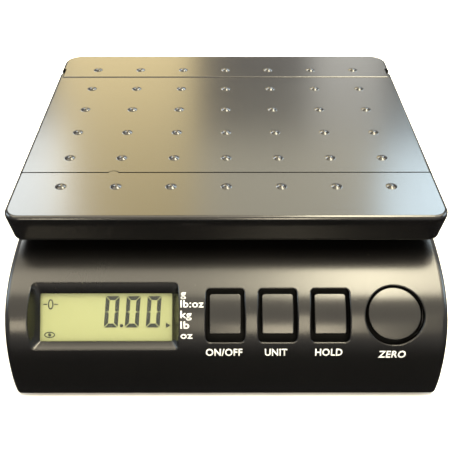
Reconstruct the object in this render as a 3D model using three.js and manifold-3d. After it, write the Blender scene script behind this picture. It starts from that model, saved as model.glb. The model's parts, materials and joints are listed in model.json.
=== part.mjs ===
// A compact platform shipping scale: a bull-nosed base housing with a display and four keys on its front,
// and a studded weighing tray carried by a load cell. The rear-hinged middle panel of the tray swings up
// as a rest for large envelopes. Millimetres, +Z up, front towards -Y, origin under the middle of the box.
import * as THREE from "three";
import { mergeVertices } from "three/addons/utils/BufferGeometryUtils.js";
import Module from "manifold-3d";

const wasm = await Module();
wasm.setup();

// ---------- Driving dimensions ----------
const GAP = 0.3; // between pieces that touch
const WALL = 2.5; // moulded wall
const SIDES = { small: 8, medium: 14, large: 24 }; // facets round a circle

const FOOT_HEIGHT = 2.0; // how far the feet hold the housing off the counter
const FOOT_RADIUS = 7;
const FOOT_POCKET = 0.8; // depth of the recess that each foot sits in
const FOOT_AT = { x: 80, front: -76, rear: 67 };

const HOUSING_HALF_WIDTH = 95.4;
const HOUSING_FRONT = -101.4; // the furthest point of the nose
const HOUSING_REAR = 98.0;
const HOUSING_ROOF = 58.2;
const HOUSING_EDGE = 3; // rounding of the housing's end edges
const NOSE_HEIGHT = 15; // height at which the nose is furthest forward
const NOSE_START = -40; // where the flat roof starts to curve down
const NOSE_PULL = { roof: 48, front: 30 }; // handle lengths of the nose curve
const FRONT_DRAFT = 1.6; // how far the front leans back below the nose
const REAR_FILLET = 4;

const TRAY_TOP = 77.5;
const TRAY_HEIGHT = 15;
const TRAY_HALF_WIDTH = 96.6;
const TRAY_FRONT = -68.6;
const TRAY_REAR = 101.4;
const TRAY_CORNER = 8;
const TRAY_EDGE = 1.6; // rounding of the tray's top and bottom edges
const TRAY_DRAFT = 0.17; // inward lean of the tray wall, mm per mm
const TRAY_MIDDLE = (TRAY_FRONT + TRAY_REAR) / 2;

const STUD = { pitch: 25, columns: 7, firstRow: -44.6, radius: 2.3, height: 0.8 };

const FLAP = { front: -32.2, rear: 70.0, thickness: 2.5, lip: 7, lipWidth: 2.3 };
const GROOVE = 0.8; // gap between the flap and the tray's strips
const HINGE = { y: 73.4, below: 2.0, pinRadius: 1.0, earRadius: 3.0, notchEnd: 82.1 };
const NAIL_TAB = { x: -52.5, y: -34.0, radius: 2.2, clearance: 0.4 };

// The inclined control panel: the middle and slope of the chord across the display opening. The nose
// bulges out of that chord, and places on the panel are measured along it (x, y) and out of it (z).
const PANEL = { y: -90.7, z: 40.7, elevation: Math.atan2(22.7, 18.6) };
const RECESS_RIM = { x0: -86.3, x1: -20.9, y0: -14.6, y1: 14.6, z: 4 };
const RECESS_FLOOR = { x0: -80.9, x1: -24.2, y0: -10.9, y1: 9.8, z: -3 };
const RECESS_CORNER = 2.4;
const KEY = { width: 13.6, height: 17.1, shift: 1.2, corner: 1.2, proud: 0.25 };
const KEY_WELL = { width: 17.3, height: 23.5, shift: 0.48, corner: 1.5 };
const KEY_FLANGE = { top: -3.7, thickness: 1.3, margin: 1.1 };
const ROUND_KEY = { x: 72.3, radius: 11.3, wellRadius: 13.2, flangeRadius: 14.3 };
const KEYS = { on_off_key: -0.5, unit_key: 22.1, hold_key: 44.7 };
const WINDOW = { thickness: 1.0, seat: 1.0 };
const LCD = { bottom: -6.3, margin: 2.0 };
const BOARD = { top: -7.9, thickness: 1.6, halfWidth: 91, low: -19, high: 18 };
const BOARD_SCREW = { radius: 0.9, head: 2.2, headHeight: 1.4, tip: -4.6 };
const MAT = { left: -9.8, right: 87, low: -12.5, high: 13.5, sheet: 0.9 };

const CELL = { length: 80, section: 12.7, bottom: 18.3, spacer: 1.5 };
const CELL_BOLTS = [20, 35]; // distance of each bolt from the cell's middle
const BOLT = { radius: 2, head: 3.5, headHeight: 2.4, lowerHead: 4.8, lowerLength: 23 };
const PEDESTAL = { x0: -42, x1: -14, halfDepth: 10 };
const STOP = { x: 30, radius: 2.5, post: 6, gap: 1.2 }; // overload stop under the cell's free end
const SPIDER = { bottom: 63.6, top: 71.6, armWidth: 14, reachX: 74, reachY: 60, pad: 9 };
const SPIDER_HUB = { x0: -30, x1: 44, halfDepth: 20 };
const SPIDER_BOSS = { x0: 13, x1: 42, halfDepth: 10, boltSeat: 9 };
const ROOF_HOLE = { x0: 10, x1: 46, halfDepth: 14 }; // the boss passes through it
const BUSH = { radius: 5, bore: 2.6 };

const BATTERY = { radius: 7.1, length: 50.5, tip: 1.4, tipRadius: 2.7, count: 4, pitch: 14.8 };
const BAY = { x: 40, front: 34, rear: 93.2, height: 20, wall: 1.6 };
const DOOR = { thickness: 2.0, tongue: 1.2, tongueHeight: 0.9, exitMargin: 1.5 };
const RIDGE = { count: 4, first: 78, pitch: 2.4, width: 1, halfLength: 9, height: 0.5 };
const JACK = { x: -60, z: 17, width: 9, height: 11, depth: 14, bore: 3.2, pin: 1.0, hole: 4.8 };
const LEAD_RADIUS = 1.1;

const SCREW_POSTS = [
  [-86, -60],
  [86, -60],
  [-86, 86],
  [86, 86],
];
const POST = { radius: 4, bottom: 5, pilot: 1.75 };
const HOUSING_SCREW = { radius: 1.5, head: 3, headHeight: 0.9, length: 15 };

// ---------- Solids ----------
const toSolid = (geometry) => {
  const bare = geometry.clone();
  bare.deleteAttribute("normal");
  bare.deleteAttribute("uv");
  const merged = mergeVertices(bare, 1e-4);
  const vertProperties = merged.attributes.position.array;
  const triVerts = new Uint32Array(merged.index.array);
  return new wasm.Manifold(new wasm.Mesh({ numProp: 3, vertProperties, triVerts }));
};

const toGeometry = (solid) => {
  const mesh = solid.getMesh();
  const geometry = new THREE.BufferGeometry();
  geometry.setAttribute("position", new THREE.BufferAttribute(mesh.vertProperties, 3));
  geometry.setIndex(new THREE.BufferAttribute(mesh.triVerts, 1));
  geometry.computeVertexNormals();
  return geometry;
};

const join = (first, ...rest) => rest.reduce((whole, next) => whole.add(next), first);
const cut = (first, ...rest) => rest.reduce((whole, next) => whole.subtract(next), first);

const block = (x0, x1, y0, y1, z0, z1) =>
  toSolid(
    new THREE.BoxGeometry(x1 - x0, y1 - y0, z1 - z0).translate(
      (x0 + x1) / 2,
      (y0 + y1) / 2,
      (z0 + z1) / 2,
    ),
  );

// A block between two distances from the middle, on the left (side -1) or the right (side 1).
const sideBlock = (side, inner, outer, y0, y1, z0, z1) =>
  block(Math.min(side * inner, side * outer), Math.max(side * inner, side * outer), y0, y1, z0, z1);

const upright = (x, y, radius, z0, z1, sides = SIDES.medium) =>
  toSolid(
    new THREE.CylinderGeometry(radius, radius, z1 - z0, sides)
      .rotateX(Math.PI / 2)
      .translate(x, y, (z0 + z1) / 2),
  );

const alongX = (y, z, radius, x0, x1, sides = SIDES.medium) =>
  toSolid(
    new THREE.CylinderGeometry(radius, radius, x1 - x0, sides)
      .rotateZ(Math.PI / 2)
      .translate((x0 + x1) / 2, y, z),
  );

const sidePin = (side, inner, outer, y, z, radius, sides = SIDES.medium) =>
  alongX(y, z, radius, Math.min(side * inner, side * outer), Math.max(side * inner, side * outer), sides);

const alongY = (x, z, radius, y0, y1, sides = SIDES.medium) =>
  toSolid(new THREE.CylinderGeometry(radius, radius, y1 - y0, sides).translate(x, (y0 + y1) / 2, z));

const roundedRectangle = (x0, x1, y0, y1, r) => {
  const shape = new THREE.Shape();
  shape.moveTo(x0 + r, y0);
  shape.lineTo(x1 - r, y0);
  shape.absarc(x1 - r, y0 + r, r, -Math.PI / 2, 0);
  shape.lineTo(x1, y1 - r);
  shape.absarc(x1 - r, y1 - r, r, 0, Math.PI / 2);
  shape.lineTo(x0 + r, y1);
  shape.absarc(x0 + r, y1 - r, r, Math.PI / 2, Math.PI);
  shape.lineTo(x0, y0 + r);
  shape.absarc(x0 + r, y0 + r, r, Math.PI, 1.5 * Math.PI);
  return shape;
};

const extrude = (shape, z0, z1, curveSegments = 3) => {
  const options = { depth: z1 - z0, bevelEnabled: false, curveSegments };
  return new THREE.ExtrudeGeometry(shape, options).translate(0, 0, z0);
};

// Turns an extrusion of a (y, z) outline so that it runs along X.
const yzToWorld = new THREE.Matrix4().makeBasis(
  new THREE.Vector3(0, 1, 0),
  new THREE.Vector3(0, 0, 1),
  new THREE.Vector3(1, 0, 0),
);

// The panel's own frame: x stays along X, y runs up the slope and z points out of the panel.
const slopeUp = new THREE.Vector3(0, Math.cos(PANEL.elevation), Math.sin(PANEL.elevation));
const slopeOut = new THREE.Vector3(0, -Math.sin(PANEL.elevation), Math.cos(PANEL.elevation));
const panelToWorld = new THREE.Matrix4()
  .makeBasis(new THREE.Vector3(1, 0, 0), slopeUp, slopeOut)
  .setPosition(0, PANEL.y, PANEL.z);

const onPanel = (geometry) => toSolid(geometry.clone().applyMatrix4(panelToWorld));
const panelBlock = (x0, x1, y0, y1, z0, z1) =>
  onPanel(
    new THREE.BoxGeometry(x1 - x0, y1 - y0, z1 - z0).translate(
      (x0 + x1) / 2,
      (y0 + y1) / 2,
      (z0 + z1) / 2,
    ),
  );
const panelDisc = (x, y, radius, z0, z1, sides = SIDES.large) =>
  onPanel(
    new THREE.CylinderGeometry(radius, radius, z1 - z0, sides)
      .rotateX(Math.PI / 2)
      .translate(x, y, (z0 + z1) / 2),
  );

// ---------- Materials ----------
const plastic = (color, roughness) => new THREE.MeshStandardMaterial({ color, roughness, metalness: 0 });
const metal = (color, roughness) => new THREE.MeshStandardMaterial({ color, roughness, metalness: 1 });
const MATERIAL = {
  casing: plastic(0x17181a, 0.32),
  key: plastic(0x131415, 0.3),
  rubber: plastic(0x1c1c1c, 0.85),
  window: plastic(0xd9dcc4, 0.08),
  lcd: plastic(0xcdd39a, 0.25),
  board: plastic(0x1f5a34, 0.5),
  silicone: plastic(0x8d9094, 0.7),
  steel: metal(0xb9bcc0, 0.35),
  aluminium: metal(0xc3c6c9, 0.4),
  battery: plastic(0x3c4a55, 0.35),
  white: plastic(0xd8d8d2, 0.6),
  lead: plastic(0x2a2a2c, 0.6),
};

const group = new THREE.Group();
const add = (name, solid, material) => {
  const mesh = new THREE.Mesh(toGeometry(solid), MATERIAL[material]);
  mesh.name = name;
  group.add(mesh);
};

// ---------- Base housing ----------
// Side outline of the housing, shrunk by `inset`: front, nose curve, roof, rear fillet, rear wall.
const housingOutline = (inset, bottom) => {
  const front = HOUSING_FRONT + inset;
  const roof = HOUSING_ROOF - inset;
  const rear = HOUSING_REAR - inset;
  const fillet = REAR_FILLET - inset / 2;
  const shape = new THREE.Shape();
  shape.moveTo(front + FRONT_DRAFT, bottom);
  shape.lineTo(rear, bottom);
  shape.lineTo(rear, roof - fillet);
  shape.absarc(rear - fillet, roof - fillet, fillet, 0, Math.PI / 2);
  shape.lineTo(NOSE_START, roof);
  shape.bezierCurveTo(
    NOSE_START - NOSE_PULL.roof + inset / 2,
    roof,
    front,
    NOSE_HEIGHT + NOSE_PULL.front - inset / 2,
    front,
    NOSE_HEIGHT,
  );
  return shape;
};

const housingSolid = (inset, bottom, halfWidth, edge) => {
  const geometry = new THREE.ExtrudeGeometry(housingOutline(inset, bottom), {
    depth: 2 * (halfWidth - edge),
    curveSegments: 11,
    bevelEnabled: edge > 0,
    bevelThickness: edge,
    bevelSize: edge,
    bevelOffset: -edge,
    bevelSegments: 2,
  });
  geometry.translate(0, 0, -(halfWidth - edge));
  return toSolid(geometry.applyMatrix4(yzToWorld));
};

const outside = housingSolid(0, FOOT_HEIGHT, HOUSING_HALF_WIDTH, HOUSING_EDGE);
const SKIRT_BOTTOM = FOOT_HEIGHT - 1;
const clearRoom = housingSolid(WALL + GAP, SKIRT_BOTTOM, HOUSING_HALF_WIDTH - WALL - GAP, 0);

const keyWell = (x) => {
  const half = KEY_WELL.width / 2;
  const low = KEY_WELL.shift - KEY_WELL.height / 2;
  return onPanel(
    extrude(roundedRectangle(x - half, x + half, low, low + KEY_WELL.height, KEY_WELL.corner), -8, 8),
  );
};

// An opening whose outline changes evenly from one rectangle to another above it.
const taper = (low, high) => {
  const { lerp, inverseLerp } = THREE.MathUtils;
  const geometry = extrude(roundedRectangle(low.x0, low.x1, low.y0, low.y1, RECESS_CORNER), low.z, high.z);
  const point = geometry.attributes.position;
  for (let i = 0; i < point.count; i++) {
    if (point.getZ(i) < high.z - GAP) continue;
    const across = inverseLerp(low.x0, low.x1, point.getX(i));
    const along = inverseLerp(low.y0, low.y1, point.getY(i));
    point.setX(i, lerp(high.x0, high.x1, across));
    point.setY(i, lerp(high.y0, high.y1, along));
  }
  return onPanel(geometry);
};

// The display opening narrows from its rim to its floor. Its long walls meet the nose at the chord and
// its end walls meet it higher up, so it is cut in two steps.
const recessCut = () => {
  const share = -RECESS_FLOOR.z / (RECESS_RIM.z - RECESS_FLOOR.z);
  const chord = {
    x0: THREE.MathUtils.lerp(RECESS_FLOOR.x0, RECESS_RIM.x0, share),
    x1: THREE.MathUtils.lerp(RECESS_FLOOR.x1, RECESS_RIM.x1, share),
    y0: RECESS_RIM.y0,
    y1: RECESS_RIM.y1,
    z: 0,
  };
  const above = { ...RECESS_RIM, z: 9 };
  return join(taper(RECESS_FLOOR, chord), taper(chord, RECESS_RIM), taper(RECESS_RIM, above));
};

const boardScrewPlaces = [
  [-13, 16.2],
  [-13, -16.8],
  [58, 16.2],
  [58, -16.8],
];

// A flat piece under the display opening, wider and taller than its floor by the margins all round.
const displayPlate = (marginX, marginY, z0, z1) =>
  panelBlock(
    RECESS_FLOOR.x0 - marginX,
    RECESS_FLOOR.x1 + marginX,
    RECESS_FLOOR.y0 - marginY,
    RECESS_FLOOR.y1 + marginY,
    z0,
    z1,
  );

const bayHalf = (BATTERY.count * BATTERY.pitch) / 2 + 0.4;

const upperHousing = () => {
  const inside = housingSolid(WALL, SKIRT_BOTTOM, HOUSING_HALF_WIDTH - WALL, 0);
  const skirt = panelBlock(
    RECESS_RIM.x0 - 1,
    RECESS_RIM.x1 + 1,
    RECESS_RIM.y0 - 0.6,
    RECESS_RIM.y1 + 0.6,
    RECESS_FLOOR.z - 1.3,
    9,
  ).intersect(outside);
  const windowSeat = displayPlate(WINDOW.seat, WINDOW.seat, RECESS_FLOOR.z - 2, RECESS_FLOOR.z + 0.01);
  const boardPosts = boardScrewPlaces.map(([x, y]) =>
    panelDisc(x, y, 2.6, BOARD.top + GAP, 6).intersect(outside),
  );
  const boardPilots = boardScrewPlaces.map(([x, y]) => panelDisc(x, y, 1.05, -12, -4.2, SIDES.small));
  const posts = SCREW_POSTS.map(([x, y]) =>
    upright(x, y, POST.radius, POST.bottom, HOUSING_ROOF).intersect(outside),
  );
  const pilots = SCREW_POSTS.map(([x, y]) => upright(x, y, POST.pilot, 0, 20, SIDES.small));
  const roofHole = block(
    ROOF_HOLE.x0,
    ROOF_HOLE.x1,
    TRAY_MIDDLE - ROOF_HOLE.halfDepth,
    TRAY_MIDDLE + ROOF_HOLE.halfDepth,
    HOUSING_ROOF - 8,
    HOUSING_ROOF + 4,
  );
  const jackHole = alongY(JACK.x, JACK.z, JACK.hole, HOUSING_REAR - 4, HOUSING_REAR + 2);
  const doorExit = block(
    BAY.x - bayHalf - DOOR.exitMargin,
    BAY.x + bayHalf + DOOR.exitMargin,
    HOUSING_REAR - 5,
    HOUSING_REAR + 1,
    0,
    FOOT_HEIGHT + DOOR.thickness + GAP,
  );
  const shell = join(outside.subtract(inside), skirt, ...posts, ...boardPosts);
  return cut(
    shell,
    recessCut(),
    windowSeat,
    ...Object.values(KEYS).map(keyWell),
    panelDisc(ROUND_KEY.x, KEY_WELL.shift, ROUND_KEY.wellRadius, -8, 9),
    ...pilots,
    ...boardPilots,
    roofHole,
    jackHole,
    doorExit,
  );
};
add("upper_housing", upperHousing(), "casing");

// ---------- Base plate ----------
const PLATE_TOP = FOOT_HEIGHT + WALL;
const plateEdge = WALL + GAP;

const footPlaces = {
  foot_front_left: [-FOOT_AT.x, FOOT_AT.front],
  foot_front_right: [FOOT_AT.x, FOOT_AT.front],
  foot_rear_left: [-FOOT_AT.x, FOOT_AT.rear],
  foot_rear_right: [FOOT_AT.x, FOOT_AT.rear],
};

const basePlate = () => {
  const room = housingSolid(plateEdge, SKIRT_BOTTOM, HOUSING_HALF_WIDTH - plateEdge, 0);
  const slab = room.intersect(block(-100, 100, -105, 105, FOOT_HEIGHT, PLATE_TOP));
  const rooted = PLATE_TOP - 0.5; // raised parts start a little inside the slab
  const pedestal = block(
    PEDESTAL.x0,
    PEDESTAL.x1,
    TRAY_MIDDLE - PEDESTAL.halfDepth,
    TRAY_MIDDLE + PEDESTAL.halfDepth,
    rooted,
    CELL.bottom - CELL.spacer - 2 * GAP,
  );
  const stopPost = upright(STOP.x, TRAY_MIDDLE, STOP.post, rooted, CELL.bottom - 4);
  const bayWall = block(
    BAY.x - bayHalf - BAY.wall,
    BAY.x + bayHalf + BAY.wall,
    BAY.front - BAY.wall,
    BAY.rear + BAY.wall,
    rooted,
    BAY.height + BAY.wall,
  );
  const bayRoom = block(BAY.x - bayHalf, BAY.x + bayHalf, BAY.front, BAY.rear, 0, BAY.height);
  const doorRoom = block(
    BAY.x - bayHalf,
    BAY.x + bayHalf,
    BAY.front,
    HOUSING_REAR,
    0,
    FOOT_HEIGHT + DOOR.thickness + GAP,
  );
  const tongueRoom = block(
    BAY.x - bayHalf - DOOR.tongue,
    BAY.x + bayHalf + DOOR.tongue,
    BAY.front - DOOR.tongue,
    HOUSING_REAR,
    FOOT_HEIGHT + DOOR.thickness - DOOR.tongueHeight - GAP,
    FOOT_HEIGHT + DOOR.thickness + GAP,
  );
  const footPockets = Object.values(footPlaces).map(([x, y]) =>
    upright(x, y, FOOT_RADIUS + GAP, 0, FOOT_HEIGHT + FOOT_POCKET, SIDES.large),
  );
  const screwHoles = SCREW_POSTS.flatMap(([x, y]) => [
    upright(x, y, 1.9, 0, 8),
    upright(x, y, 3.4, 0, FOOT_HEIGHT + 1.3),
  ]);
  const boltHoles = CELL_BOLTS.flatMap((d) => [
    upright(-d, TRAY_MIDDLE, BOLT.radius + 0.25, 0, 20),
    upright(-d, TRAY_MIDDLE, BOLT.head + 0.4, 0, 7.5),
  ]);
  const stopHole = upright(STOP.x, TRAY_MIDDLE, STOP.radius + 0.15, 0, 20);
  const postClearance = SCREW_POSTS.map(([x, y]) =>
    upright(x, y, POST.radius + 0.4, POST.bottom - GAP, 30),
  );
  return cut(
    join(slab, pedestal, stopPost, bayWall),
    bayRoom,
    doorRoom,
    tongueRoom,
    ...footPockets,
    ...screwHoles,
    ...boltHoles,
    stopHole,
    ...postClearance,
  );
};
add("base_plate", basePlate(), "casing");

for (const [name, [x, y]] of Object.entries(footPlaces)) {
  const points = [
    [0, 0],
    [FOOT_RADIUS - 0.8, 0],
    [FOOT_RADIUS, 0.8],
    [FOOT_RADIUS, FOOT_HEIGHT + FOOT_POCKET - GAP],
    [0, FOOT_HEIGHT + FOOT_POCKET - GAP],
  ].map(([r, z]) => new THREE.Vector2(r, z));
  const foot = new THREE.LatheGeometry(points, SIDES.large).rotateX(Math.PI / 2).translate(x, y, 0);
  add(name, toSolid(foot), "rubber");
}

// A screw with its head down, its head's underside at `bottom`.
const screwUp = (x, y, bottom, length, screw) =>
  join(
    upright(x, y, screw.head, bottom, bottom + screw.headHeight),
    upright(x, y, screw.radius, bottom + screw.headHeight - 0.2, bottom + length, SIDES.small),
  );

SCREW_POSTS.forEach(([x, y], i) => {
  const screw = screwUp(x, y, FOOT_HEIGHT + 0.1, HOUSING_SCREW.length, HOUSING_SCREW);
  add(`housing_screw_${i + 1}`, screw, "steel");
});

// ---------- Display and key assembly ----------
const displayStack = () => {
  const seat = WINDOW.seat - GAP;
  const windowTop = RECESS_FLOOR.z - 0.05;
  const windowBottom = windowTop - WINDOW.thickness;
  add("display_window", displayPlate(seat, seat, windowBottom, windowTop), "window");
  const glass = displayPlate(LCD.margin, LCD.margin, LCD.bottom, windowBottom - GAP - 0.15);
  add("lcd_panel", glass, "lcd");
  const room = displayPlate(LCD.margin + GAP, LCD.margin + GAP, LCD.bottom - 3, RECESS_FLOOR.z);
  add("lcd_frame", displayPlate(4, 3.2, LCD.bottom - 1.2, -4.6).subtract(room), "white");
  const strip = (y) =>
    panelBlock(RECESS_FLOOR.x0, RECESS_FLOOR.x1, y - 1, y + 1, LCD.bottom - 1.3, LCD.bottom - GAP);
  add("zebra_strip_upper", strip(RECESS_FLOOR.y1 + 0.6), "silicone");
  add("zebra_strip_lower", strip(RECESS_FLOOR.y0 - 0.6), "silicone");
};
displayStack();

// Key tops follow the housing's surface and stand a little proud of it.
const crown = housingSolid(-KEY.proud, FOOT_HEIGHT, HOUSING_HALF_WIDTH - 5, 0);

const rectangularKey = (x) => {
  const half = KEY.width / 2;
  const low = KEY.shift - KEY.height / 2;
  const outline = roundedRectangle(x - half, x + half, low, low + KEY.height, KEY.corner);
  const cap = onPanel(extrude(outline, KEY_FLANGE.top - 0.2, 9)).intersect(crown);
  const reach = KEY_WELL.width / 2 + KEY_FLANGE.margin;
  const wellLow = KEY_WELL.shift - KEY_WELL.height / 2 - KEY_FLANGE.margin;
  const wellHigh = wellLow + KEY_WELL.height + 2 * KEY_FLANGE.margin;
  const bottom = KEY_FLANGE.top - KEY_FLANGE.thickness;
  const flange = panelBlock(x - reach, x + reach, wellLow, wellHigh, bottom, KEY_FLANGE.top);
  return cap.add(flange.intersect(clearRoom));
};
for (const [name, x] of Object.entries(KEYS)) add(name, rectangularKey(x), "key");

const zeroKey = () => {
  const top = KEY_FLANGE.top;
  const cap = panelDisc(ROUND_KEY.x, KEY.shift, ROUND_KEY.radius, top - 0.2, 9);
  const under = top - KEY_FLANGE.thickness;
  const flange = panelDisc(ROUND_KEY.x, KEY_WELL.shift, ROUND_KEY.flangeRadius, under, top);
  return cap.intersect(crown).add(flange.intersect(clearRoom));
};
add("zero_key", zeroKey(), "key");

const keypadMat = () => {
  const sheetBottom = BOARD.top + 0.1;
  const sheet = panelBlock(MAT.left, MAT.right, MAT.low, MAT.high, sheetBottom, sheetBottom + MAT.sheet);
  const domeTop = KEY_FLANGE.top - KEY_FLANGE.thickness - GAP;
  const domes = [...Object.values(KEYS), ROUND_KEY.x].map((x) => {
    const dome = new THREE.CylinderGeometry(3, 4.5, domeTop - sheetBottom - 0.4)
      .rotateX(Math.PI / 2)
      .translate(x, KEY.shift, (domeTop + sheetBottom + 0.4) / 2);
    return onPanel(dome);
  });
  return join(sheet, ...domes);
};
add("keypad_mat", keypadMat(), "silicone");

const mainBoard = () => {
  const half = BOARD.halfWidth;
  const bottom = BOARD.top - BOARD.thickness;
  const board = panelBlock(-half, half, BOARD.low, BOARD.high, bottom, BOARD.top);
  const chip = panelBlock(-60, -44, -8, 8, bottom - 2, bottom + 0.2);
  const socket = panelBlock(10, 26, -3, 3, bottom - 6, bottom + 0.2);
  const holes = boardScrewPlaces.map(([x, y]) => panelDisc(x, y, 1.3, -12, -6, SIDES.small));
  return cut(join(board, chip, socket), ...holes);
};
add("main_board", mainBoard(), "board");

boardScrewPlaces.forEach(([x, y], i) => {
  const under = BOARD.top - BOARD.thickness - 0.1;
  const head = panelDisc(x, y, BOARD_SCREW.head, under - BOARD_SCREW.headHeight, under);
  const shank = panelDisc(x, y, BOARD_SCREW.radius, under - 0.2, BOARD_SCREW.tip, SIDES.small);
  add(`board_screw_${i + 1}`, head.add(shank), "steel");
});

// ---------- Load cell ----------
const cellTop = CELL.bottom + CELL.section;
const loadCell = () => {
  const half = CELL.length / 2;
  const width = CELL.section / 2;
  const bar = block(-half, half, TRAY_MIDDLE - width, TRAY_MIDDLE + width, CELL.bottom, cellTop);
  const middle = CELL.bottom + CELL.section / 2;
  const through = (x, radius) =>
    alongY(x, middle, radius, TRAY_MIDDLE - width - 1, TRAY_MIDDLE + width + 1);
  const slot = block(-6, 6, TRAY_MIDDLE - 8, TRAY_MIDDLE + 8, middle - 2.2, middle + 2.2);
  const holes = CELL_BOLTS.flatMap((d) => [
    upright(-d, TRAY_MIDDLE, BOLT.radius + 0.15, 0, 60),
    upright(d, TRAY_MIDDLE, BOLT.radius + 0.15, 0, 60),
  ]);
  return cut(bar, through(-6, 4.8), through(6, 4.8), slot, ...holes);
};
add("load_cell", loadCell(), "aluminium");

const spacer = (side, z0, z1) => {
  const plate = block(side * 27.5 - 12, side * 27.5 + 12, TRAY_MIDDLE - 6.3, TRAY_MIDDLE + 6.3, z0, z1);
  const holes = CELL_BOLTS.map((d) => upright(side * d, TRAY_MIDDLE, BOLT.radius + 0.2, z0 - 1, z1 + 1));
  return cut(plate, ...holes);
};
add("cell_spacer_lower", spacer(-1, CELL.bottom - GAP - CELL.spacer, CELL.bottom - GAP), "steel");
add("cell_spacer_upper", spacer(1, cellTop + GAP, cellTop + GAP + CELL.spacer), "steel");

CELL_BOLTS.forEach((d, i) => {
  const bolt = screwUp(-d, TRAY_MIDDLE, BOLT.lowerHead, BOLT.lowerLength, BOLT);
  add(`cell_bolt_lower_${i + 1}`, bolt, "steel");
});

const stopTop = CELL.bottom - STOP.gap;
const stopScrew = upright(STOP.x, TRAY_MIDDLE, STOP.radius, FOOT_HEIGHT + 3, stopTop, SIDES.small);
add("overload_stop_screw", stopScrew, "steel");

// ---------- Spider that carries the tray ----------
const bushPlaces = [
  [-SPIDER.reachX, TRAY_MIDDLE - SPIDER.reachY],
  [SPIDER.reachX, TRAY_MIDDLE - SPIDER.reachY],
  [-SPIDER.reachX, TRAY_MIDDLE + SPIDER.reachY],
  [SPIDER.reachX, TRAY_MIDDLE + SPIDER.reachY],
];
const spiderBossBottom = cellTop + 2 * GAP + CELL.spacer;
const boltSeat = spiderBossBottom + SPIDER_BOSS.boltSeat;

const spider = () => {
  const arm = (sign) => {
    const length = 2 * Math.hypot(SPIDER.reachX, SPIDER.reachY);
    const bar = new THREE.BoxGeometry(length, SPIDER.armWidth, SPIDER.top - SPIDER.bottom)
      .rotateZ(sign * Math.atan2(SPIDER.reachY, SPIDER.reachX))
      .translate(0, TRAY_MIDDLE, (SPIDER.top + SPIDER.bottom) / 2);
    return toSolid(bar);
  };
  const pads = bushPlaces.map(([x, y]) => upright(x, y, SPIDER.pad, SPIDER.bottom, SPIDER.top));
  const middleBlock = (part, z0, z1) =>
    block(part.x0, part.x1, TRAY_MIDDLE - part.halfDepth, TRAY_MIDDLE + part.halfDepth, z0, z1);
  const hub = middleBlock(SPIDER_HUB, SPIDER.bottom, SPIDER.top);
  const boss = middleBlock(SPIDER_BOSS, spiderBossBottom, SPIDER.bottom + 1);
  const bushHoles = bushPlaces.map(([x, y]) => upright(x, y, BUSH.radius + GAP, 50, 80));
  const boltHoles = CELL_BOLTS.flatMap((d) => [
    upright(d, TRAY_MIDDLE, BOLT.radius + 0.25, 20, 80),
    upright(d, TRAY_MIDDLE, BOLT.head + 0.5, boltSeat, 80),
  ]);
  return cut(join(arm(1), arm(-1), hub, boss, ...pads), ...bushHoles, ...boltHoles);
};
add("platform_spider", spider(), "casing");

CELL_BOLTS.forEach((d, i) => {
  const head = upright(d, TRAY_MIDDLE, BOLT.head, boltSeat + 0.1, boltSeat + 0.1 + BOLT.headHeight);
  const shank = upright(d, TRAY_MIDDLE, BOLT.radius, CELL.bottom + 1, boltSeat + 0.4, SIDES.small);
  add(`cell_bolt_upper_${i + 1}`, head.add(shank), "steel");
});

const bushTop = SPIDER.top + 0.6;
bushPlaces.forEach(([x, y], i) => {
  const ring = upright(x, y, BUSH.radius, SPIDER.bottom + GAP, bushTop);
  add(`tray_bush_${i + 1}`, ring.subtract(upright(x, y, BUSH.bore, 50, 80)), "rubber");
});

// ---------- Weighing tray ----------
// A pan-shaped block whose walls lean in towards the bottom, shrunk by `inset` all round.
const trayBlock = (inset, top, bottom) => {
  const edge = inset > 0 ? 0 : TRAY_EDGE;
  const corner = Math.max(TRAY_CORNER - inset, 1);
  const outline = roundedRectangle(
    -TRAY_HALF_WIDTH + inset,
    TRAY_HALF_WIDTH - inset,
    TRAY_FRONT - TRAY_MIDDLE + inset,
    TRAY_REAR - TRAY_MIDDLE - inset,
    corner,
  );
  const geometry = new THREE.ExtrudeGeometry(outline, {
    depth: top - bottom - 2 * edge,
    curveSegments: 4,
    bevelEnabled: edge > 0,
    bevelThickness: edge,
    bevelSize: edge,
    bevelOffset: -edge,
    bevelSegments: 2,
  }).translate(0, 0, bottom + edge);
  const point = geometry.attributes.position;
  for (let i = 0; i < point.count; i++) {
    const lean = TRAY_DRAFT * Math.max(0, TRAY_TOP - 3 - point.getZ(i));
    point.setX(i, point.getX(i) * (1 - lean / TRAY_HALF_WIDTH));
    point.setY(i, point.getY(i) * (1 - lean / (TRAY_REAR - TRAY_MIDDLE)));
  }
  return toSolid(geometry.translate(0, TRAY_MIDDLE, 0));
};

const studs = (rows) =>
  rows.flatMap((row) =>
    Array.from({ length: STUD.columns }, (_, column) => {
      const x = (column - (STUD.columns - 1) / 2) * STUD.pitch;
      const y = STUD.firstRow + row * STUD.pitch;
      const profile = [
        [0, -0.6],
        [STUD.radius, -0.6],
        [STUD.radius, 0],
        [STUD.radius * 0.6, STUD.height * 0.8],
        [0, STUD.height],
      ].map(([r, z]) => new THREE.Vector2(r, z));
      return toSolid(
        new THREE.LatheGeometry(profile, 6).rotateX(Math.PI / 2).translate(x, y, TRAY_TOP),
      );
    }),
  );

const BEYOND = 110; // further out than any piece
const ABOVE = 90; // higher than any piece
const hingeZ = TRAY_TOP - HINGE.below;
const lipInner = TRAY_HALF_WIDTH - FLAP.lipWidth;
const flapUnderside = TRAY_TOP - FLAP.thickness;
const trayBottom = TRAY_TOP - TRAY_HEIGHT;

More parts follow.
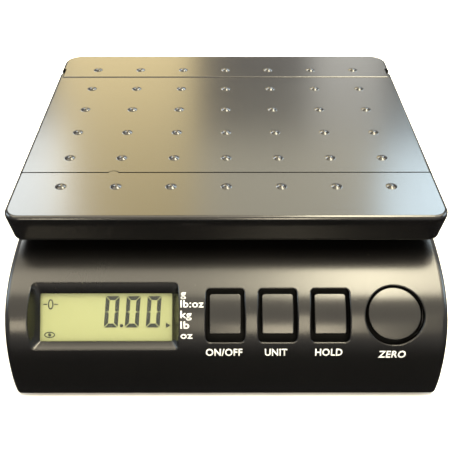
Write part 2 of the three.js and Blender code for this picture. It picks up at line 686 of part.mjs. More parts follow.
const platformTray = () => {
  const lipBottom = TRAY_TOP - FLAP.lip - GAP;
  const seatFront = FLAP.front - GROOVE;
  const seatRear = FLAP.rear + GROOVE;
  const panelSeat = block(-BEYOND, BEYOND, seatFront, seatRear, flapUnderside - GAP, ABOVE);
  const lipSeat = (side) =>
    sideBlock(side, lipInner - GAP, BEYOND, seatFront, seatRear, lipBottom, ABOVE);
  const earSeat = (side) =>
    sideBlock(side, lipInner - GAP, BEYOND, FLAP.rear - 1, HINGE.notchEnd, lipBottom, ABOVE);
  const thin = 2.0; // wall behind the lip seats
  const roof = TRAY_TOP - WALL; // inner height under the fixed strips
  const roomTop = flapUnderside - GAP - WALL;
  const room = trayBlock(FLAP.lipWidth + thin + GAP, roomTop, trayBottom - 6);
  const frontRoom = block(
    -TRAY_HALF_WIDTH + 5,
    TRAY_HALF_WIDTH - 5,
    TRAY_FRONT + 5,
    seatFront - WALL,
    roomTop - 2,
    roof,
  );
  const rearRoom = block(
    -TRAY_HALF_WIDTH + 8,
    TRAY_HALF_WIDTH - 8,
    seatRear + WALL,
    TRAY_REAR - 5,
    roomTop - 2,
    roof,
  );
  const pegs = bushPlaces.map(([x, y]) =>
    upright(x, y, BUSH.bore - GAP, SPIDER.bottom + 1, flapUnderside - WALL, SIDES.small),
  );
  const shoulders = bushPlaces.map(([x, y]) =>
    upright(x, y, BUSH.radius - 0.5, bushTop + GAP, TRAY_TOP - 1.5),
  );
  const tab = upright(NAIL_TAB.x, NAIL_TAB.y, NAIL_TAB.radius, flapUnderside - 1, TRAY_TOP);
  const pinHoles = [-1, 1].map((side) =>
    sidePin(side, lipInner - 8, BEYOND, HINGE.y, hingeZ, HINGE.pinRadius + 0.15, 16),
  );
  const pan = cut(
    trayBlock(0, TRAY_TOP, trayBottom),
    panelSeat,
    lipSeat(-1),
    lipSeat(1),
    earSeat(-1),
    earSeat(1),
    room,
    frontRoom,
    rearRoom,
  );
  return cut(join(pan, tab, ...pegs, ...shoulders, ...studs([0, 5])), ...pinHoles);
};
add("platform_tray", platformTray(), "casing");

// ---------- Envelope flap ----------
const envelopeFlap = () => {
  const whole = trayBlock(0, TRAY_TOP, trayBottom);
  const panel = block(-BEYOND, BEYOND, FLAP.front, FLAP.rear, flapUnderside, ABOVE);
  const lip = (side) =>
    sideBlock(side, lipInner, BEYOND, FLAP.front, FLAP.rear, TRAY_TOP - FLAP.lip, ABOVE);
  const ear = (side) => {
    const bottom = hingeZ - HINGE.earRadius;
    return join(
      sidePin(side, lipInner, BEYOND, HINGE.y, hingeZ, HINGE.earRadius, SIDES.large),
      sideBlock(side, lipInner, BEYOND, FLAP.rear - 0.5, HINGE.y, bottom, TRAY_TOP),
    );
  };
  const eyes = alongX(HINGE.y, hingeZ, HINGE.pinRadius + 0.05, -BEYOND, BEYOND);
  const notch = upright(
    NAIL_TAB.x,
    NAIL_TAB.y,
    NAIL_TAB.radius + NAIL_TAB.clearance,
    flapUnderside - 1,
    TRAY_TOP + 1,
    20,
  );
  const plate = whole.intersect(join(panel, lip(-1), lip(1), ear(-1), ear(1)));
  return cut(join(plate, ...studs([1, 2, 3, 4])), eyes, notch);
};
add("envelope_flap", envelopeFlap(), "casing");

for (const [name, side] of Object.entries({ flap_pin_left: -1, flap_pin_right: 1 })) {
  const pin = sidePin(side, lipInner - 7.5, TRAY_HALF_WIDTH - 0.4, HINGE.y, hingeZ, HINGE.pinRadius);
  add(name, pin, "steel");
}

// ---------- Batteries and their door ----------
for (let i = 0; i < BATTERY.count; i++) {
  const x = BAY.x + (i - (BATTERY.count - 1) / 2) * BATTERY.pitch;
  const z = BAY.height - BATTERY.radius - GAP;
  const y0 = BAY.front + 4.2;
  const y1 = y0 + BATTERY.length;
  const turned = i % 2 === 1; // every other cell lies the other way round
  const can = turned
    ? alongY(x, z, BATTERY.radius, y0 + BATTERY.tip, y1)
    : alongY(x, z, BATTERY.radius, y0, y1 - BATTERY.tip);
  const tip = turned
    ? alongY(x, z, BATTERY.tipRadius, y0, y0 + BATTERY.tip + 0.2)
    : alongY(x, z, BATTERY.tipRadius, y1 - BATTERY.tip - 0.2, y1);
  add(`battery_${i + 1}`, can.add(tip), "battery");
}

const contacts = (y0, y1) =>
  block(BAY.x - bayHalf + GAP, BAY.x + bayHalf - GAP, y0, y1, PLATE_TOP + 2, BAY.height - GAP);
add("battery_contact_front", contacts(BAY.front + GAP, BAY.front + 0.8), "steel");
add("battery_contact_rear", contacts(BAY.rear - 0.8, BAY.rear - GAP), "steel");

const batteryDoor = () => {
  const top = FOOT_HEIGHT + DOOR.thickness;
  const half = bayHalf - GAP;
  const plate = block(BAY.x - half, BAY.x + half, BAY.front + GAP, HOUSING_REAR - 0.4, FOOT_HEIGHT, top);
  const tongues = block(
    BAY.x - half - DOOR.tongue + 0.1,
    BAY.x + half + DOOR.tongue - 0.1,
    BAY.front + GAP - DOOR.tongue + 0.3,
    HOUSING_REAR - 5.4,
    top - DOOR.tongueHeight,
    top,
  );
  const ridges = Array.from({ length: RIDGE.count }, (_, i) => {
    const y = RIDGE.first + i * RIDGE.pitch;
    const low = FOOT_HEIGHT - RIDGE.height;
    const left = BAY.x - RIDGE.halfLength;
    return block(left, BAY.x + RIDGE.halfLength, y, y + RIDGE.width, low, FOOT_HEIGHT + 0.2);
  });
  return join(plate, tongues, ...ridges);
};
add("battery_door", batteryDoor(), "casing");

// ---------- Power inlet and leads ----------
const dcJack = () => {
  const y1 = HOUSING_REAR - WALL - GAP;
  const body = block(
    JACK.x - JACK.width / 2,
    JACK.x + JACK.width / 2,
    y1 - JACK.depth,
    y1,
    JACK.z - JACK.height / 2,
    JACK.z + JACK.height / 2,
  );
  const collar = alongY(JACK.x, JACK.z, JACK.bore + 1.2, y1 - 1, HOUSING_REAR - 0.4);
  const bore = alongY(JACK.x, JACK.z, JACK.bore, y1 - JACK.depth + 3, HOUSING_REAR + 2);
  const pin = alongY(JACK.x, JACK.z, JACK.pin, y1 - JACK.depth + 2, HOUSING_REAR - 3, SIDES.small);
  return join(cut(join(body, collar), bore), pin);
};
add("dc_jack", dcJack(), "lead");

const lead = (points, radius) => {
  const curve = new THREE.CatmullRomCurve3(points.map((p) => new THREE.Vector3(...p)));
  const round = new THREE.Shape().absarc(0, 0, radius, 0, 2 * Math.PI);
  return toSolid(
    new THREE.ExtrudeGeometry(round, { steps: 16, curveSegments: 2, extrudePath: curve }),
  );
};
const boardBack = { y: -79, z: 35 };
const leads = {
  load_cell_lead: [
    [-12, TRAY_MIDDLE - 8.2, 30],
    [-12, -10, 24],
    [2, -40, 14],
    [10, -62, 20],
    [12, boardBack.y + 5, boardBack.z - 4],
  ],
  battery_lead: [
    [BAY.x + 6, BAY.front - 3.2, 15],
    [BAY.x + 4, 8, 9],
    [40, -30, 8],
    [28, -58, 16],
    [24, boardBack.y + 5, boardBack.z - 4],
  ],
  jack_lead: [
    [JACK.x, 78, JACK.z],
    [-62, 50, 9],
    [-52, 0, 7.5],
    [-22, -45, 8],
    [12, -66, 15],
    [18, boardBack.y + 5, boardBack.z - 4],
  ],
};
for (const [name, points] of Object.entries(leads)) add(name, lead(points, LEAD_RADIUS), "lead");

export default group;
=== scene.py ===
"""Looks of a compact platform shipping scale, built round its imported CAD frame. Shapes are in millimetres."""
import json
import math

import bmesh
import bpy
import numpy as np
from mathutils import Euler, Matrix, Vector
from mathutils.geometry import delaunay_2d_cdt


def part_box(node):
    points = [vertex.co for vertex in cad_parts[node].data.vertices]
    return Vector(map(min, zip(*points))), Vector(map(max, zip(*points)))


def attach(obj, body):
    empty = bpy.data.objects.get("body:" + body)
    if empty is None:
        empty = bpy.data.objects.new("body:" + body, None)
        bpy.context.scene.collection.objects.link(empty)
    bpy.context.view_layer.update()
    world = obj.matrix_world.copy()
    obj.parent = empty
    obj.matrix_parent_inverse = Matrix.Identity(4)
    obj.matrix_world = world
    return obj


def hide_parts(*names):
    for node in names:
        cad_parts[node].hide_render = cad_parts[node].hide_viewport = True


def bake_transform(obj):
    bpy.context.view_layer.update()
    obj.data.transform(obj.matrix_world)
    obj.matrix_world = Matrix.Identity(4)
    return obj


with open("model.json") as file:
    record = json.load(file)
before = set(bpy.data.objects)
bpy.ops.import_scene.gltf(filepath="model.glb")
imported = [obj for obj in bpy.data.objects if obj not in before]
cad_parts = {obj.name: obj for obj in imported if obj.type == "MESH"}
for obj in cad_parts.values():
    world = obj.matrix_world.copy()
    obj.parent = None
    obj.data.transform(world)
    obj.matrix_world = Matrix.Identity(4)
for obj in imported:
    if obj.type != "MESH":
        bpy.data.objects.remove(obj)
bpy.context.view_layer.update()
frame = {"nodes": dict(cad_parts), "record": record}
MM = 0.001


def box_mm(node):
    """A CAD node's lowest and highest corners in millimetres."""
    low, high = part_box(node)
    return low / MM, high / MM


HOUSING_LOW, HOUSING_HIGH = box_mm("upper_housing")
TRAY_LOW, TRAY_HIGH = box_mm("platform_tray")
FLAP_FRONT = box_mm("envelope_flap")[0].y
STUD_HEIGHT = 0.8
TRAY_TOP = TRAY_HIGH.z - STUD_HEIGHT
TRAY_BOTTOM = TRAY_LOW.z
TRAY_HALF = TRAY_HIGH.x
TRAY_MID = (TRAY_LOW.y + TRAY_HIGH.y) / 2
FAR = 110  # past the sides of everything
ABOVE = 95  # over the top of everything

# ---------------------------------------------------------------- mesh tools


def make_object(name, verts, faces):
    """A mesh object from points in millimetres."""
    mesh = bpy.data.meshes.new(name)
    mesh.from_pydata([Vector(v) * MM for v in verts], [], faces)
    mesh.validate()
    mesh.update()
    obj = bpy.data.objects.new(name, mesh)
    bpy.context.scene.collection.objects.link(obj)
    return obj


def facing_out(obj):
    """Turns every face of a closed mesh outwards."""
    bm = bmesh.new()
    bm.from_mesh(obj.data)
    bmesh.ops.recalc_face_normals(bm, faces=bm.faces)
    bm.to_mesh(obj.data)
    bm.free()
    return obj


def loft(name, rings, transform=None):
    """A closed solid through rings with the same number of points, capped at both ends."""
    count = len(rings[0])
    verts = [Vector(p) for ring in rings for p in ring]
    if transform is not None:
        verts = [transform @ v for v in verts]
    faces = [tuple(range(count))[::-1]]
    for r in range(len(rings) - 1):
        for i in range(count):
            j = (i + 1) % count
            a, b = r * count, (r + 1) * count
            faces.append((a + i, a + j, b + j, b + i))
    last = (len(rings) - 1) * count
    faces.append(tuple(range(last, last + count)))
    return facing_out(make_object(name, verts, faces))


def rounded_rectangle(x0, x1, y0, y1, radii, steps=10):
    """Points anticlockwise; radii are for the corners (x0,y0), (x1,y0), (x1,y1), (x0,y1)."""
    corners = [(x0, y0, 1, 1, 180), (x1, y0, -1, 1, 270), (x1, y1, -1, -1, 0), (x0, y1, 1, -1, 90)]
    points = []
    for (x, y, sx, sy, start), radius in zip(corners, radii):
        for k in range(steps + 1):
            a = math.radians(start + 90 * k / steps)
            points.append((x + sx * radius + radius * math.cos(a), y + sy * radius + radius * math.sin(a)))
    return points


def circle(x, y, radius, sides=64):
    turns = [2 * math.pi * k / sides for k in range(sides)]
    return [(x + radius * math.cos(a), y + radius * math.sin(a)) for a in turns]


def quarter(steps):
    """Angles over a quarter turn."""
    return [math.pi / 2 * k / steps for k in range(steps + 1)]


def prism(name, outline, z0, z1, transform=None):
    return loft(name, [[(x, y, z0) for x, y in outline], [(x, y, z1) for x, y in outline]], transform)


def block(name, x0, x1, y0, y1, z0, z1, transform=None):
    return prism(name, [(x0, y0), (x1, y0), (x1, y1), (x0, y1)], z0, z1, transform)


def rod_along_x(name, y, z, radius, x0, x1, sides=48):
    turned = Matrix(((0, 0, 1, 0), (1, 0, 0, 0), (0, 1, 0, 0), (0, 0, 0, 1)))
    return prism(name, circle(y, z, radius, sides), x0, x1, turned)


def rod_along_y(name, x, z, radius, y0, y1, sides=48):
    turned = Matrix(((1, 0, 0, 0), (0, 0, 1, 0), (0, 1, 0, 0), (0, 0, 0, 1)))
    return prism(name, circle(x, z, radius, sides), y0, y1, turned)


def applied(obj):
    """Applies an object's modifiers."""
    depsgraph = bpy.context.evaluated_depsgraph_get()
    mesh = bpy.data.meshes.new_from_object(obj.evaluated_get(depsgraph))
    obj.modifiers.clear()
    obj.data = mesh
    return obj


def combine(obj, operation, *others):
    """Joins or cuts with other solids, and removes them."""
    for other in others:
        modifier = obj.modifiers.new(operation, "BOOLEAN")
        modifier.operation = operation
        modifier.solver = "EXACT"
        modifier.object = other
        applied(obj)
        bpy.data.objects.remove(other)
    return obj


def cut(obj, *others):
    return combine(obj, "DIFFERENCE", *others)


def join(obj, *others):
    return combine(obj, "UNION", *others)


def meet(obj, other):
    return combine(obj, "INTERSECT", other)


def tidy(bm, distance=0.004 * MM):
    """Merges points closer than distance, and removes faces without area."""
    bmesh.ops.remove_doubles(bm, verts=bm.verts, dist=distance)
    bmesh.ops.dissolve_degenerate(bm, edges=bm.edges, dist=distance)


def soften(obj, wanted, width, segments=3):
    """Rounds the edges that wanted(edge) picks."""
    bm = bmesh.new()
    bm.from_mesh(obj.data)
    tidy(bm)
    bm.normal_update()
    edges = [e for e in bm.edges if len(e.link_faces) == 2 and wanted(e)]
    if edges:
        settings = {"offset_type": "OFFSET", "profile": 0.5, "affect": "EDGES", "clamp_overlap": True}
        bmesh.ops.bevel(bm, geom=edges, offset=width * MM, segments=segments, **settings)
    bm.to_mesh(obj.data)
    bm.free()
    return obj


def sharper_than(degrees):
    limit = math.radians(degrees)
    return lambda e: e.calc_face_angle(0) > limit


def smooth(obj, degrees=35, exact_normal=None):
    """Smooth shading up to an angle. exact_normal(point) gives the true surface normal where it is known."""
    mesh = obj.data
    mesh.shade_smooth()
    mesh.set_sharp_from_angle(angle=math.radians(degrees))
    if exact_normal is None:
        return obj
    normals = [Vector(n.vector) for n in mesh.corner_normals]
    known = {}
    for v in mesh.vertices:
        n = exact_normal(v.co / MM)
        if n is not None:
            known[v.index] = n
    for polygon in mesh.polygons:
        for i in polygon.loop_indices:
            n = known.get(mesh.loops[i].vertex_index)
            if n is not None and polygon.normal.dot(n) > 0.9:
                normals[i] = n
    mesh.normals_split_custom_set(normals)
    return obj


# ---------------------------------------------------------------- materials


def map_range(tree, *limits):
    """A node that maps the first two limits to the last two."""
    node = tree.nodes.new("ShaderNodeMapRange")
    for socket, limit in zip(("From Min", "From Max", "To Min", "To Max"), limits):
        node.inputs[socket].default_value = limit
    return node


class Nodes:
    """A node material with one Principled shader, and short calls for the nodes that feed it."""

    def __init__(self, name):
        self.material = bpy.data.materials.new(name)
        self.material.use_nodes = True
        self.tree = self.material.node_tree
        self.shader = self.tree.nodes["Principled BSDF"]
        self.place = self.tree.nodes.new("ShaderNodeTexCoord").outputs["Object"]

    def link(self, a, b):
        self.tree.links.new(a, b)

    def noise(self, scale, detail=3, roughness=0.5, stretch=None):
        node = self.tree.nodes.new("ShaderNodeTexNoise")
        node.inputs["Scale"].default_value = scale
        node.inputs["Detail"].default_value = detail
        node.inputs["Roughness"].default_value = roughness
        source = self.place
        if stretch:
            mapping = self.tree.nodes.new("ShaderNodeMapping")
            mapping.inputs["Scale"].default_value = stretch
            self.link(self.place, mapping.inputs["Vector"])
            source = mapping.outputs["Vector"]
        self.link(source, node.inputs["Vector"])
        return node.outputs["Fac"]

    def specks(self, scale, size):
        """1 in rare small dots, 0 elsewhere."""
        cells = self.tree.nodes.new("ShaderNodeTexVoronoi")
        cells.inputs["Scale"].default_value = scale
        self.link(self.place, cells.inputs["Vector"])
        dot = self.spread(cells.outputs["Distance"], size * 0.6, size, 1, 0)
        rare = self.tree.nodes.new("ShaderNodeSeparateColor")
        self.link(cells.outputs["Color"], rare.inputs["Color"])
        some = self.spread(rare.outputs["Red"], 0.90, 0.93, 0, 1)
        return self.times(dot, some)

    def times(self, a, b):
        node = self.tree.nodes.new("ShaderNodeMath")
        node.operation = "MULTIPLY"
        self.link(a, node.inputs[0])
        self.link(b, node.inputs[1])
        return node.outputs[0]

    def spread(self, value, from_low, from_high, to_low, to_high):
        node = map_range(self.tree, from_low, from_high, to_low, to_high)
        self.link(value, node.inputs["Value"])
        return node.outputs["Result"]

    def ramp(self, value, *stops):
        node = self.tree.nodes.new("ShaderNodeValToRGB")
        elements = node.color_ramp.elements
        while len(elements) < len(stops):
            elements.new(0.5)
        for element, (at, colour) in zip(elements, stops):
            element.position = at
            element.color = (*colour, 1)
        self.link(value, node.inputs["Fac"])
        return node.outputs["Color"]

    def mix(self, factor, a, b):
        node = self.tree.nodes.new("ShaderNodeMix")
        node.data_type = "RGBA"
        self.link(factor, node.inputs["Factor"])
        for value, name in ((a, "A"), (b, "B")):
            socket = [s for s in node.inputs if s.name == name and s.type == "RGBA"][0]
            if isinstance(value, tuple):
                socket.default_value = (*value, 1)
            else:
                self.link(value, socket)
        return [s for s in node.outputs if s.type == "RGBA"][0]

    def colour(self, value):
        if isinstance(value, tuple):
            self.shader.inputs["Base Color"].default_value = (*value, 1)
        else:
            self.link(value, self.shader.inputs["Base Color"])

    def roughness(self, value):
        self.link(value, self.shader.inputs["Roughness"])

    def bump(self, height, distance_mm, strength=1.0, after=None):
        node = self.tree.nodes.new("ShaderNodeBump")
        node.inputs["Strength"].default_value = strength
        node.inputs["Distance"].default_value = distance_mm * MM
        self.link(height, node.inputs["Height"])
        if after is not None:
            self.link(after, node.inputs["Normal"])
        self.link(node.outputs["Normal"], self.shader.inputs["Normal"])
        return node.outputs["Normal"]

    def set(self, **values):
        for name, value in values.items():
            self.shader.inputs[name.replace("_", " ").title().replace("Ior", "IOR")].default_value = value
        return self.material


def moulded_plastic(name, colour, rough_low, rough_high, grain_mm, grain_scale=2600, dust=0.25):
    """Black ABS: a fine spark-eroded grain, faint wiping streaks and smudges, and a little dust."""
    n = Nodes(name)
    smudge = n.noise(22, 3, 0.5)
    streaks = n.noise(260, 3, 0.6, stretch=(1, 0.05, 0.05))
    worn = n.mix(n.spread(streaks, 0.3, 0.7, 0, 0.35), smudge, streaks)
    n.roughness(n.spread(worn, 0.3, 0.75, rough_low, rough_high))
    specks = n.specks(300, 0.05)
    tint = n.ramp(n.noise(24, 3), (0.3, colour), (0.75, tuple(min(1, c * 1.35) for c in colour)))
    lit = n.spread(specks, 0, 1, 0, dust)
    n.colour(n.mix(lit, tint, (0.42, 0.40, 0.37)))
    n.bump(n.noise(grain_scale, 2), grain_mm)
    return n.material


def rubber(name, colour):
    n = Nodes(name)
    n.colour(n.ramp(n.noise(60, 4), (0.3, colour), (0.8, tuple(c * 1.8 for c in colour))))
    n.roughness(n.spread(n.noise(300, 3), 0.3, 0.7, 0.65, 0.9))
    n.bump(n.noise(1400, 3), 0.03)
    return n.material


def machined(name, colour, roughness, brushed=(1, 40, 40)):
    n = Nodes(name)
    lines = n.noise(90, 4, 0.6, stretch=brushed)
    n.colour(n.ramp(lines, (0.2, tuple(c * 0.85 for c in colour)), (0.8, colour)))
    n.roughness(n.spread(lines, 0.3, 0.7, roughness * 0.8, roughness * 1.25))
    n.bump(lines, 0.01)
    return n.set(metallic=1.0)


def printed_white():
    n = Nodes("white_print")
    ink = n.noise(900, 3)
    n.colour(n.ramp(ink, (0.25, (0.44, 0.45, 0.46)), (0.7, (0.55, 0.56, 0.56))))
    n.roughness(n.spread(ink, 0.3, 0.7, 0.42, 0.6))
    n.bump(ink, 0.01)
    return n.material


def lcd_reflector():
    """The yellow-green film behind the display's crystal layer."""
    n = Nodes("lcd_film")
    n.colour(n.ramp(n.noise(14, 2), (0.3, (0.274, 0.300, 0.139)), (0.75, (0.300, 0.326, 0.156))))
    n.roughness(n.spread(n.noise(700, 2), 0.3, 0.7, 0.45, 0.6))
    n.bump(n.noise(3000, 1), 0.004)
    return n.material


def lcd_ink():
    n = Nodes("lcd_segment")
    n.colour(n.ramp(n.noise(400, 2), (0.3, (0.006, 0.012, 0.009)), (0.8, (0.010, 0.018, 0.014))))
    n.roughness(n.spread(n.noise(500, 2), 0.3, 0.7, 0.45, 0.6))
    return n.material


def clear_window():
    n = Nodes("window_plastic")
    n.colour(n.ramp(n.noise(30, 2), (0.3, (0.020, 0.022, 0.020)), (0.8, (0.035, 0.036, 0.034))))
    n.roughness(n.spread(n.noise(60, 3), 0.3, 0.7, 0.05, 0.12))
    return n.set(alpha=0.10)


def green_board():
    n = Nodes("solder_mask")
    tracks = n.noise(220, 1, 0.2, stretch=(1, 6, 1))
    n.colour(n.ramp(tracks, (0.46, (0.012, 0.10, 0.035)), (0.52, (0.03, 0.19, 0.07))))
    n.roughness(n.spread(tracks, 0.4, 0.6, 0.25, 0.4))
    n.bump(tracks, 0.03)
    return n.material


def battery_sleeve():
    n = Nodes("battery_sleeve")
    n.colour(n.ramp(n.noise(20, 2), (0.3, (0.06, 0.09, 0.13)), (0.8, (0.09, 0.13, 0.17))))
    n.roughness(n.spread(n.noise(200, 2), 0.3, 0.7, 0.25, 0.4))
    return n.set(metallic=0.4)


def pale_floor():
    n = Nodes("studio_floor")
    n.colour(n.ramp(n.noise(3, 2), (0.2, (0.83, 0.83, 0.83)), (0.8, (0.86, 0.86, 0.86))))
    n.roughness(n.spread(n.noise(40, 3), 0.3, 0.7, 0.75, 0.9))
    return n.material


JET_BLACK = (0.0014, 0.0013, 0.0013)
HOUSING_PLASTIC = moulded_plastic("housing_plastic", JET_BLACK, 0.24, 0.28, 0.003)
TRAY_PLASTIC = moulded_plastic("tray_plastic", JET_BLACK, 0.17, 0.20, 0.002)
KEY_PLASTIC = moulded_plastic("key_plastic", JET_BLACK, 0.20, 0.25, 0.003, dust=0.15)
# The flanges get a darker, rougher copy of the key plastic with weak specular: painted shade that makes the gap
# round each cap look black.
KEY_FLANGE_PAINTED_SHADE = moulded_plastic("key_flange_painted_shade", (0.0008, 0.0008, 0.0008), 0.65, 0.8, 0.01, dust=0)
KEY_FLANGE_PAINTED_SHADE.node_tree.nodes["Principled BSDF"].inputs["Specular IOR Level"].default_value = 0.2
FOOT_RUBBER = rubber("foot_rubber", (0.014, 0.014, 0.015))
MAT_SILICONE = rubber("silicone", (0.24, 0.25, 0.27))
LEAD_SLEEVE = rubber("lead_sleeve", (0.012, 0.012, 0.014))
STEEL = machined("zinc_plated_steel", (0.60, 0.61, 0.63), 0.32)
CELL_ALUMINIUM = machined("cell_aluminium", (0.74, 0.75, 0.76), 0.38)
WHITE_PRINT = printed_white()
LCD_FILM = lcd_reflector()
LCD_INK = lcd_ink()
CLEAR_WINDOW = clear_window()
BOARD_GREEN = green_board()
BATTERY_SLEEVE = battery_sleeve()
FRAME_WHITE = moulded_plastic("frame_white", (0.55, 0.55, 0.52), 0.4, 0.5, 0.01, dust=0)


def clothe(obj, slot, material, *nodes):
    """Gives a piece its material and hides the CAD nodes it stands for; slot is not used."""
    obj.data.materials.clear()
    obj.data.materials.append(material)
    if nodes:
        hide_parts(*nodes)
    return obj


def finish_piece(obj, body, slot, material, *nodes):
    """Finishes a piece that moves with one body."""
    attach(obj, body)
    return clothe(obj, slot, material, *nodes)


def finish_bent(obj, bodies, start, end, slot, material, *nodes):
    """Finishes a piece placed between two bodies: bakes its placement and gives it its material; bodies, start
    and end are not used.
    """
    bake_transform(obj)
    return clothe(obj, slot, material, *nodes)


# ---------------------------------------------------------------- base housing

HALF_WIDTH = HOUSING_HIGH.x
FRONT = HOUSING_LOW.y
REAR = HOUSING_HIGH.y
ROOF = HOUSING_HIGH.z
BASE = HOUSING_LOW.z
NOSE_HEIGHT = 15
NOSE_START = -40
ROOF_PULL = 48
FRONT_PULL = 30
FRONT_DRAFT = 1.6
REAR_FILLET = 4
END_ROUND = 3
WALL = 2.5


def bezier(p0, p1, p2, p3, t):
    """Point and unit tangent of a cubic curve."""
    u = 1 - t
    p = p0 * u**3 + p1 * 3 * u * u * t + p2 * 3 * u * t * t + p3 * t**3
    d = (p1 - p0) * 3 * u * u + (p2 - p1) * 6 * u * t + (p3 - p2) * 3 * t * t
    d.normalize()
    return p, d


def housing_side(inset=0.0, nose_steps=110):
    """(y, z) and outward normals up the front, over the nose curve and roof, and down the rear."""
    nose = [Vector((FRONT, NOSE_HEIGHT)), Vector((FRONT, NOSE_HEIGHT + FRONT_PULL))]
    nose += [Vector((NOSE_START - ROOF_PULL, ROOF)), Vector((NOSE_START, ROOF))]
    rows = []
    drop = NOSE_HEIGHT - BASE
    for k in range(8):
        z = BASE + drop * k / 8
        lean = FRONT_DRAFT * ((NOSE_HEIGHT - z) / drop) ** 2
        slope = 2 * FRONT_DRAFT * (NOSE_HEIGHT - z) / drop**2
        rows.append((Vector((FRONT + lean, z)), Vector((-1, -slope)).normalized()))
    for k in range(nose_steps + 1):
        p, d = bezier(*nose, k / nose_steps)
        rows.append((p, Vector((-d.y, d.x))))
    for k in range(1, 12):
        y = NOSE_START + (REAR - REAR_FILLET - NOSE_START) * k / 12
        rows.append((Vector((y, ROOF)), Vector((0, 1))))
    for k in range(9):
        a = math.radians(90 - 90 * k / 8)
        n = Vector((math.cos(a), math.sin(a)))
        rows.append((Vector((REAR - REAR_FILLET, ROOF - REAR_FILLET)) + n * REAR_FILLET, n))
    for k in range(1, 9):
        z = ROOF - REAR_FILLET - (ROOF - REAR_FILLET - BASE) * k / 8
        rows.append((Vector((REAR, z)), Vector((1, 0))))
    return [(p - n * inset, n) for p, n in rows]


SIDE = housing_side(nose_steps=400)
SIDE_POINTS = np.array([p for p, _ in SIDE])
SIDE_NORMALS = np.array([n for _, n in SIDE])
SIDE_LENGTH = np.concatenate([[0], np.cumsum(np.hypot(*np.diff(SIDE_POINTS, axis=0).T))])


def nearest_on_side(y, z):
    """Normal (y, z) at the outline's nearest point, and the signed distance outside it."""
    offset = np.array([y, z]) - SIDE_POINTS
    i = int(np.argmin((offset**2).sum(1)))
    tangent = np.array([SIDE_NORMALS[i][1], -SIDE_NORMALS[i][0]])
    along = float(offset[i] @ tangent)
    j = min(max(i + (1 if along > 0 else -1), 0), len(SIDE_POINTS) - 1)
    step = float(np.hypot(*(SIDE_POINTS[j] - SIDE_POINTS[i]))) or 1.0
    share = min(abs(along) / step, 1.0)
    n = SIDE_NORMALS[i] * (1 - share) + SIDE_NORMALS[j] * share
    n /= np.hypot(*n)
    return Vector(n), float(offset[i] @ SIDE_NORMALS[i])


def housing_normal(point):
    """The housing's outer normal at a point on it, or None off it."""
    n, distance = nearest_on_side(point.y, point.z)
    over = abs(point.x) - (HALF_WIDTH - END_ROUND)
    if over <= 0:
        return Vector((0, n.x, n.y)) if abs(distance) < 0.03 else None
    depth = -distance
    radial = Vector((over, END_ROUND - depth))
    if abs(radial.length - END_ROUND) > 0.05:
        return None
    radial.normalize()
    return Vector((math.copysign(radial.x, point.x), n.x * radial.y, n.y * radial.y)).normalized()


def housing_outside():
    """The outer block: the side outline carried along X, its ends rounded."""
    columns = []
    steps = 7
    for k in range(steps + 1):
        a = math.radians(90 * k / steps)
        columns.append((HALF_WIDTH - END_ROUND + END_ROUND * math.cos(a), END_ROUND * (1 - math.sin(a))))
    span = HALF_WIDTH - END_ROUND
    middle = [(span - 2 * span * k / 60, 0.0) for k in range(1, 60)]
    columns = columns + middle + [(-x, inset) for x, inset in reversed(columns)]
    rings = []
    for x, inset in columns:
        side = housing_side(inset)
        rings.append([(x, p.x, max(p.y, BASE)) for p, _ in side])
    return loft("housing_shell", rings)


def housing_inside():
    side = housing_side(WALL, 40)
    half = HALF_WIDTH - WALL
    low = [(p.x, min(p.y, ROOF - WALL)) for p, _ in side]
    low[0] = (low[0][0], BASE - 1)
    low[-1] = (low[-1][0], BASE - 1)
    return loft("inside", [[(x, y, z) for y, z in low] for x in (half, -half)])


# The sloped control panel's own frame: x along X, y up the slope, z out of the panel.
PANEL_ANGLE = math.atan2(22.7, 18.6)
PANEL_ORIGIN = Vector((0, -90.7, 40.7))
PANEL = Matrix.Translation(PANEL_ORIGIN) @ Matrix.Rotation(PANEL_ANGLE, 4, "X")

# Boxes on the panel are (x0, x1, y0, y1). The display's recess widens from its floor to the chord and on to
# its rim, which lies on the nose.
RECESS_FLOOR = -3.0
FLOOR_BOX = (-81.2, -23.6, -10.9, 9.8)
FLOOR_CORNERS = (0.5, 0.5, 0.5, 0.5)
CHORD_BOX = (-83.9, -21.2, -13.9, 14.3)
RIM_BOX = (-85.1, -20.4, -13.9, 14.3)
RIM_LEVEL = 4.0
RECESS_CORNERS = (1.6, 1.4, 1.8, 1.8)
KEY_SHIFT = 1.22
KEY_HALF = (6.8, 8.55)
KEY_CORNERS = (0.7, 0.7, 1.3, 1.3)
WELL_HALF = (8.15, 11.35)
WELL_SHIFT = 0.48
WELL_CORNER = 1.7
WELL_DRAFT = 0.12
ROUND_RADIUS = 11.3
ROUND_WELL = 12.6
WELL_MIDDLE = 2  # height at which a well has its stated width
WELL_FLOORS = (-9, -2)  # heights of the lower rings of a well's cutter
RIM_ROUND = 0.8
KEY_RIM_ROUND = 0.85
RIM_TURN = math.radians(84)  # how far a rim's rounding turns from the wall towards the nose
OUTLINE_STEP = 0.7


def centre_x(node):
    low, high = box_mm(node)
    return (low.x + high.x) / 2


KEY_NODES = ("on_off_key", "unit_key", "hold_key")
KEY_X = {node: centre_x(node) for node in KEY_NODES}
ROUND_X = centre_x("zero_key")


PANEL_INTO = PANEL.inverted()
NOSE = np.array([PANEL_INTO @ Vector((0, p[0], p[1])) for p in SIDE_POINTS])
NOSE = NOSE[np.abs(NOSE[:, 1]) < 18][:, 1:]


def nose_height(y):
    """Height of the nose's surface over the panel's chord, at y up the chord."""
    return float(np.interp(y, NOSE[:, 0], NOSE[:, 1]))


def piece_counts(outline, step=OUTLINE_STEP):
    """Into how many pieces about as long as step each side of the outline divides."""
    return [max(1, round(math.dist(a, b) / step)) for a, b in zip(outline, outline[1:] + outline[:1])]


